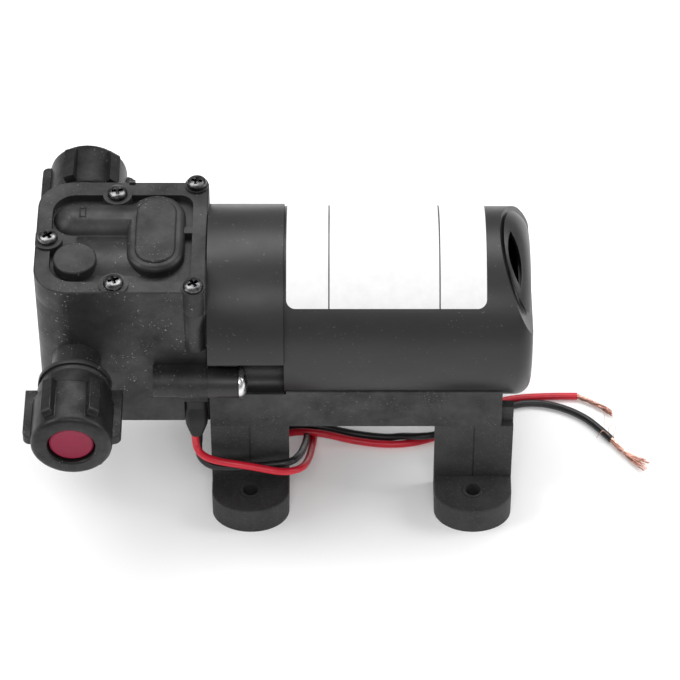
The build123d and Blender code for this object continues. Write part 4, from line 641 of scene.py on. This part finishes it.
black_strays = (
    (
        (0.0828, -0.0036, 0.0013), (0.0818, -0.0010, 0.0026), (0.0822, 0.0008, 0.0030),
        (0.0832, 0.0016, 0.0026),
    ),
    (
        (0.0826, -0.0034, 0.0020), (0.0806, -0.0010, 0.0034), (0.0790, -0.0020, 0.0030),
        (0.0778, -0.0036, 0.0020),
    ),
    (
        (0.0830, -0.0040, 0.0020), (0.0840, -0.0012, 0.0030), (0.0846, 0.0006, 0.0026),
        (0.0842, 0.0016, 0.0020),
    ),
)
wire_radius = 0.00017
wire_points = 10
bundle_radius = 0.00084
inner_ring = 0.35
outer_ring = 0.85
fan_start = 0.35
fan_rise = 0.35
stray_thickness = 0.45


def round_line(name, radius, resolution, bevel_resolution):
    """A line in the air that is still empty, round in section where it has a radius."""
    curve = bpy.data.curves.new(name, "CURVE")
    curve.dimensions = "3D"
    curve.resolution_u = resolution
    curve.bevel_depth = radius
    curve.bevel_resolution = bevel_resolution
    curve.use_fill_caps = radius > 0
    line = bpy.data.objects.new(name, curve)
    scene.collection.objects.link(line)
    return line


def add_run(line, route, thickness=1.0):
    """A smooth run along a route, added to a line; thickness is a share of the line's radius."""
    spline = line.data.splines.new("NURBS")
    spline.points.add(len(route) - 1)
    for point, place in zip(spline.points, route):
        point.co = (*place, 1.0)
        point.radius = thickness
    spline.order_u = 3
    spline.use_endpoint_u = True


def insulation(name, colour, roughness):
    """Smooth PVC with the handling marks of a coiled wire."""
    material, tree, shader, place = surface(name, colour, roughness)
    blotches = noise(tree, place, scale=180.0, detail=4.0)
    tree.links.new(mottled(tree, blotches, colour, 0.8, 1.12), shader.inputs["Base Color"])
    smear = noise(tree, place, scale=700.0)
    tree.links.new(spread(tree, smear, roughness - 0.05, roughness + 0.10), shader.inputs["Roughness"])
    bump(tree, shader, smear, 0.00003, 0.3)
    return material


def bare_copper(name, colour, roughness):
    """Copper with dull streaks of its own tone, and pale streaks of painted highlight, here and there."""
    material, tree, shader, place = surface(name, colour, roughness, metallic=1.0)
    # The darker stops are the copper's tone varying at random; the palest stop, near white, is painted
    # highlight.
    tone = ramp(
        tree, noise(tree, place, scale=900.0), (0.35, shaded(colour, 0.7)), (0.55, colour),
        (0.75, (0.90, 0.78, 0.70)),
    )
    tree.links.new(tone, shader.inputs["Base Color"])
    bump(tree, shader, noise(tree, place, scale=3000.0, detail=2.0), 0.00001, 0.3)
    return material


def bare_strands(name, route, wires, fan, seed, twist, strays):
    """The stripped end: fine wires that start as one twisted bundle and spread, and a few stray ones."""
    guide = round_line(name + "_line", 0.0, 24, 0)
    add_run(guide, route)
    spots = [vert.co.copy() for vert in bpy.data.meshes.new_from_object(guide).vertices]
    bpy.data.objects.remove(guide, do_unlink=True)
    bundle = round_line(name, wire_radius, 3, 1)
    draw = random.Random(seed)
    last = len(spots) - 1
    for wire in range(wires):
        ring = bundle_radius * (inner_ring if wire < wires // 3 else outer_ring)
        start_angle = math.tau * draw.random()
        drift = draw.uniform(-1.0, 1.0)
        lift = draw.uniform(0.0, 1.0)
        length = draw.uniform(0.80, 1.0)
        run = []
        for index in range(wire_points):
            share = index / (wire_points - 1) * length
            at = share * last
            low = min(int(at), last - 1)
            middle = spots[low].lerp(spots[low + 1], at - low)
            along = (spots[low + 1] - spots[low]).normalized()
            across = along.cross(Vector((0, 0, 1))).normalized()
            angle = start_angle + twist * share
            open_up = max(0.0, share - fan_start) ** 1.6
            side = ring * math.cos(angle) + fan * drift * open_up
            rise = ring * math.sin(angle) * (1 - 0.5 * share) + fan * fan_rise * lift * open_up
            spot = middle + across * side + Vector((0, 0, rise))
            spot.z = max(spot.z, wire_radius * 1.3)
            run.append(spot)
        add_run(bundle, run)
    for stray in strays:
        add_run(bundle, stray, stray_thickness)
    mesh = bmesh.new()
    mesh.from_mesh(bpy.data.meshes.new_from_object(bundle))
    bpy.data.objects.remove(bundle, do_unlink=True)
    return mesh


copper = bare_copper("copper", (0.74, 0.42, 0.34), 0.38)
red_pvc = insulation("red_insulation", (0.62, 0.010, 0.030), 0.34)
black_pvc = insulation("black_insulation", (0.010, 0.010, 0.011), 0.36)
leads = (  # colour, route, finish, length, route of the strands, wires, fan, seed, twist, strays
    ("red", red_route, red_pvc, 0.2474, red_strand_route, 24, 0.0014, 11, 6.0, red_strays),
    ("black", black_route, black_pvc, 0.2475, black_strand_route, 26, 0.0056, 23, 4.0, black_strays),
)
for colour, route, pvc, length, strand_route, wires, fan, seed, twist, strays in leads:
    lead = round_line(colour + "_wire", lead_radius, 12, 5)
    add_run(lead, route)
    lead.data.materials.append(pvc)
    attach(lead, "pump")
    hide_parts(colour + "_lead")
    strands = bare_strands(colour + "_bare_strands", strand_route, wires, fan, seed, twist, strays)
    bare = piece(colour + "_bare_strands", strands, copper, "pump", "copper", colour + "_strands")


# The motor's outer mouldings: the adapter sleeve bolted to the head, the jacket over the steel can
# with its slanted end, and the vented dome that tucks under the slant. Smooth satin black nylon.
def satin_moulding(name, tone, roughness):
    """Smooth moulded plastic: clouds drawn out along the motor, sparse specks and a soft sheen."""
    material, tree, shader, place = surface(name, grey(tone), roughness, specular=0.40)
    flow = noise(tree, stretched(tree, place, 0.35, 1.0, 1.0), scale=60.0, detail=4.0)
    cloudy = mottled(tree, flow, grey(tone), 0.88, 1.14, start=0.35, end=0.65)
    specks = mask(tree, noise(tree, place, scale=1100.0, detail=2.0, roughness=0.4), 0.70, 0.75, 0.30)
    tree.links.new(mixed(tree, specks, cloudy, grey(0.14)), shader.inputs["Base Color"])
    smear = noise(tree, place, scale=90.0, detail=6.0, roughness=0.6)
    tree.links.new(spread(tree, smear, roughness - 0.05, roughness + 0.06), shader.inputs["Roughness"])
    bump(tree, shader, noise(tree, place, scale=2200.0, detail=2.0), 0.000015, 0.25)
    return material


motor_plastic = satin_moulding("motor_plastic", 0.016, 0.38)
dress(motor_plastic, "adapter_sleeve", "motor_jacket", "end_dome")
round_edges(0.0003, "adapter_sleeve")
round_edges(0.0006, "motor_jacket", "end_dome")


# The label: a white self-adhesive film wrapped over the top of the jacket, with plain ruled lines
# across it and nothing else on it.
def maths(tree, operation, *values):
    """One sum of numbers or other nodes' outputs."""
    node = tree.nodes.new("ShaderNodeMath")
    node.operation = operation
    for socket, value in zip(node.inputs, values):
        if isinstance(value, float):
            socket.default_value = value
        else:
            tree.links.new(value, socket)
    return node.outputs["Value"]


def ruled_film(name, tone, roughness, lines, half_width):
    """White film with dark lines ruled round it at the given places along the motor."""
    material, tree, shader, place = surface(name, grey(tone), roughness)
    split = tree.nodes.new("ShaderNodeSeparateXYZ")
    tree.links.new(place, split.inputs["Vector"])
    marks = [maths(tree, "COMPARE", split.outputs["X"], line, half_width) for line in lines]
    fibre = noise(tree, place, scale=300.0, detail=4.0)
    film = ramp(tree, fibre, (0.3, (0.68, 0.68, 0.69)), (0.7, grey(0.73)))
    ruled = mixed(tree, maths(tree, "ADD", *marks), film, grey(0.03))
    tree.links.new(ruled, shader.inputs["Base Color"])
    bump(tree, shader, noise(tree, place, scale=150.0), 0.00003, 0.2)
    return material


dress(ruled_film("label_film", 0.70, 0.45, lines=(-0.0105, 0.0241), half_width=0.00022), "label")


# Inside the motor: the steel can with its magnets, bearings and end plate, and the armature with its
# laminated core, windings and commutator on the shaft.
dress(bright_steel, "motor_can", "front_bearing", "motor_shaft")
dress(worn_steel("bush_bronze", (0.55, 0.36, 0.18), 0.35), "rear_bush")
dress(worn_steel("lamination_steel", (0.30, 0.30, 0.31), 0.42), "armature_core")
dress(soft_rubber("magnet_ferrite", (0.035, 0.034, 0.033), 0.55), "magnets")
dress(soft_rubber("brush_carbon", grey(0.020), 0.50), "brushes")
dress(copper, "armature_windings", "commutator")
dress(inner_plastic, "end_plate")


# The cradle under the motor and its four soft feet, whose tongues slide into the cradle's rails.
# The cradle is black nylon; the feet are matt moulded rubber with a pale bloom in its speckle.
def bloomed_rubber(name, tone, roughness, specular):
    """Matt rubber with a pale bloom that gathers in clouds and in fine specks."""
    material, tree, shader, place = surface(name, grey(tone), roughness, specular=specular)
    clouds = noise(tree, place, scale=130.0, detail=5.0)
    bloom = ramp(tree, clouds, (0.3, grey(0.018)), (0.7, grey(0.034)))
    speckle = mask(tree, noise(tree, place, scale=1900.0, detail=2.0, roughness=0.5), 0.60, 0.72, 0.35)
    tree.links.new(mixed(tree, speckle, bloom, grey(0.12)), shader.inputs["Base Color"])
    bump(tree, shader, noise(tree, place, scale=1400.0), 0.00005, 0.5)
    return material


feet = ("near_left_foot", "near_right_foot", "far_left_foot", "far_right_foot")
dress(moulded("cradle_plastic", tone=0.014, roughness=0.40, dust=0.4), "cradle")
dress(bloomed_rubber("foot_rubber", tone=0.024, roughness=0.62, specular=0.38), *feet)
round_edges(0.0003, "cradle", *feet)
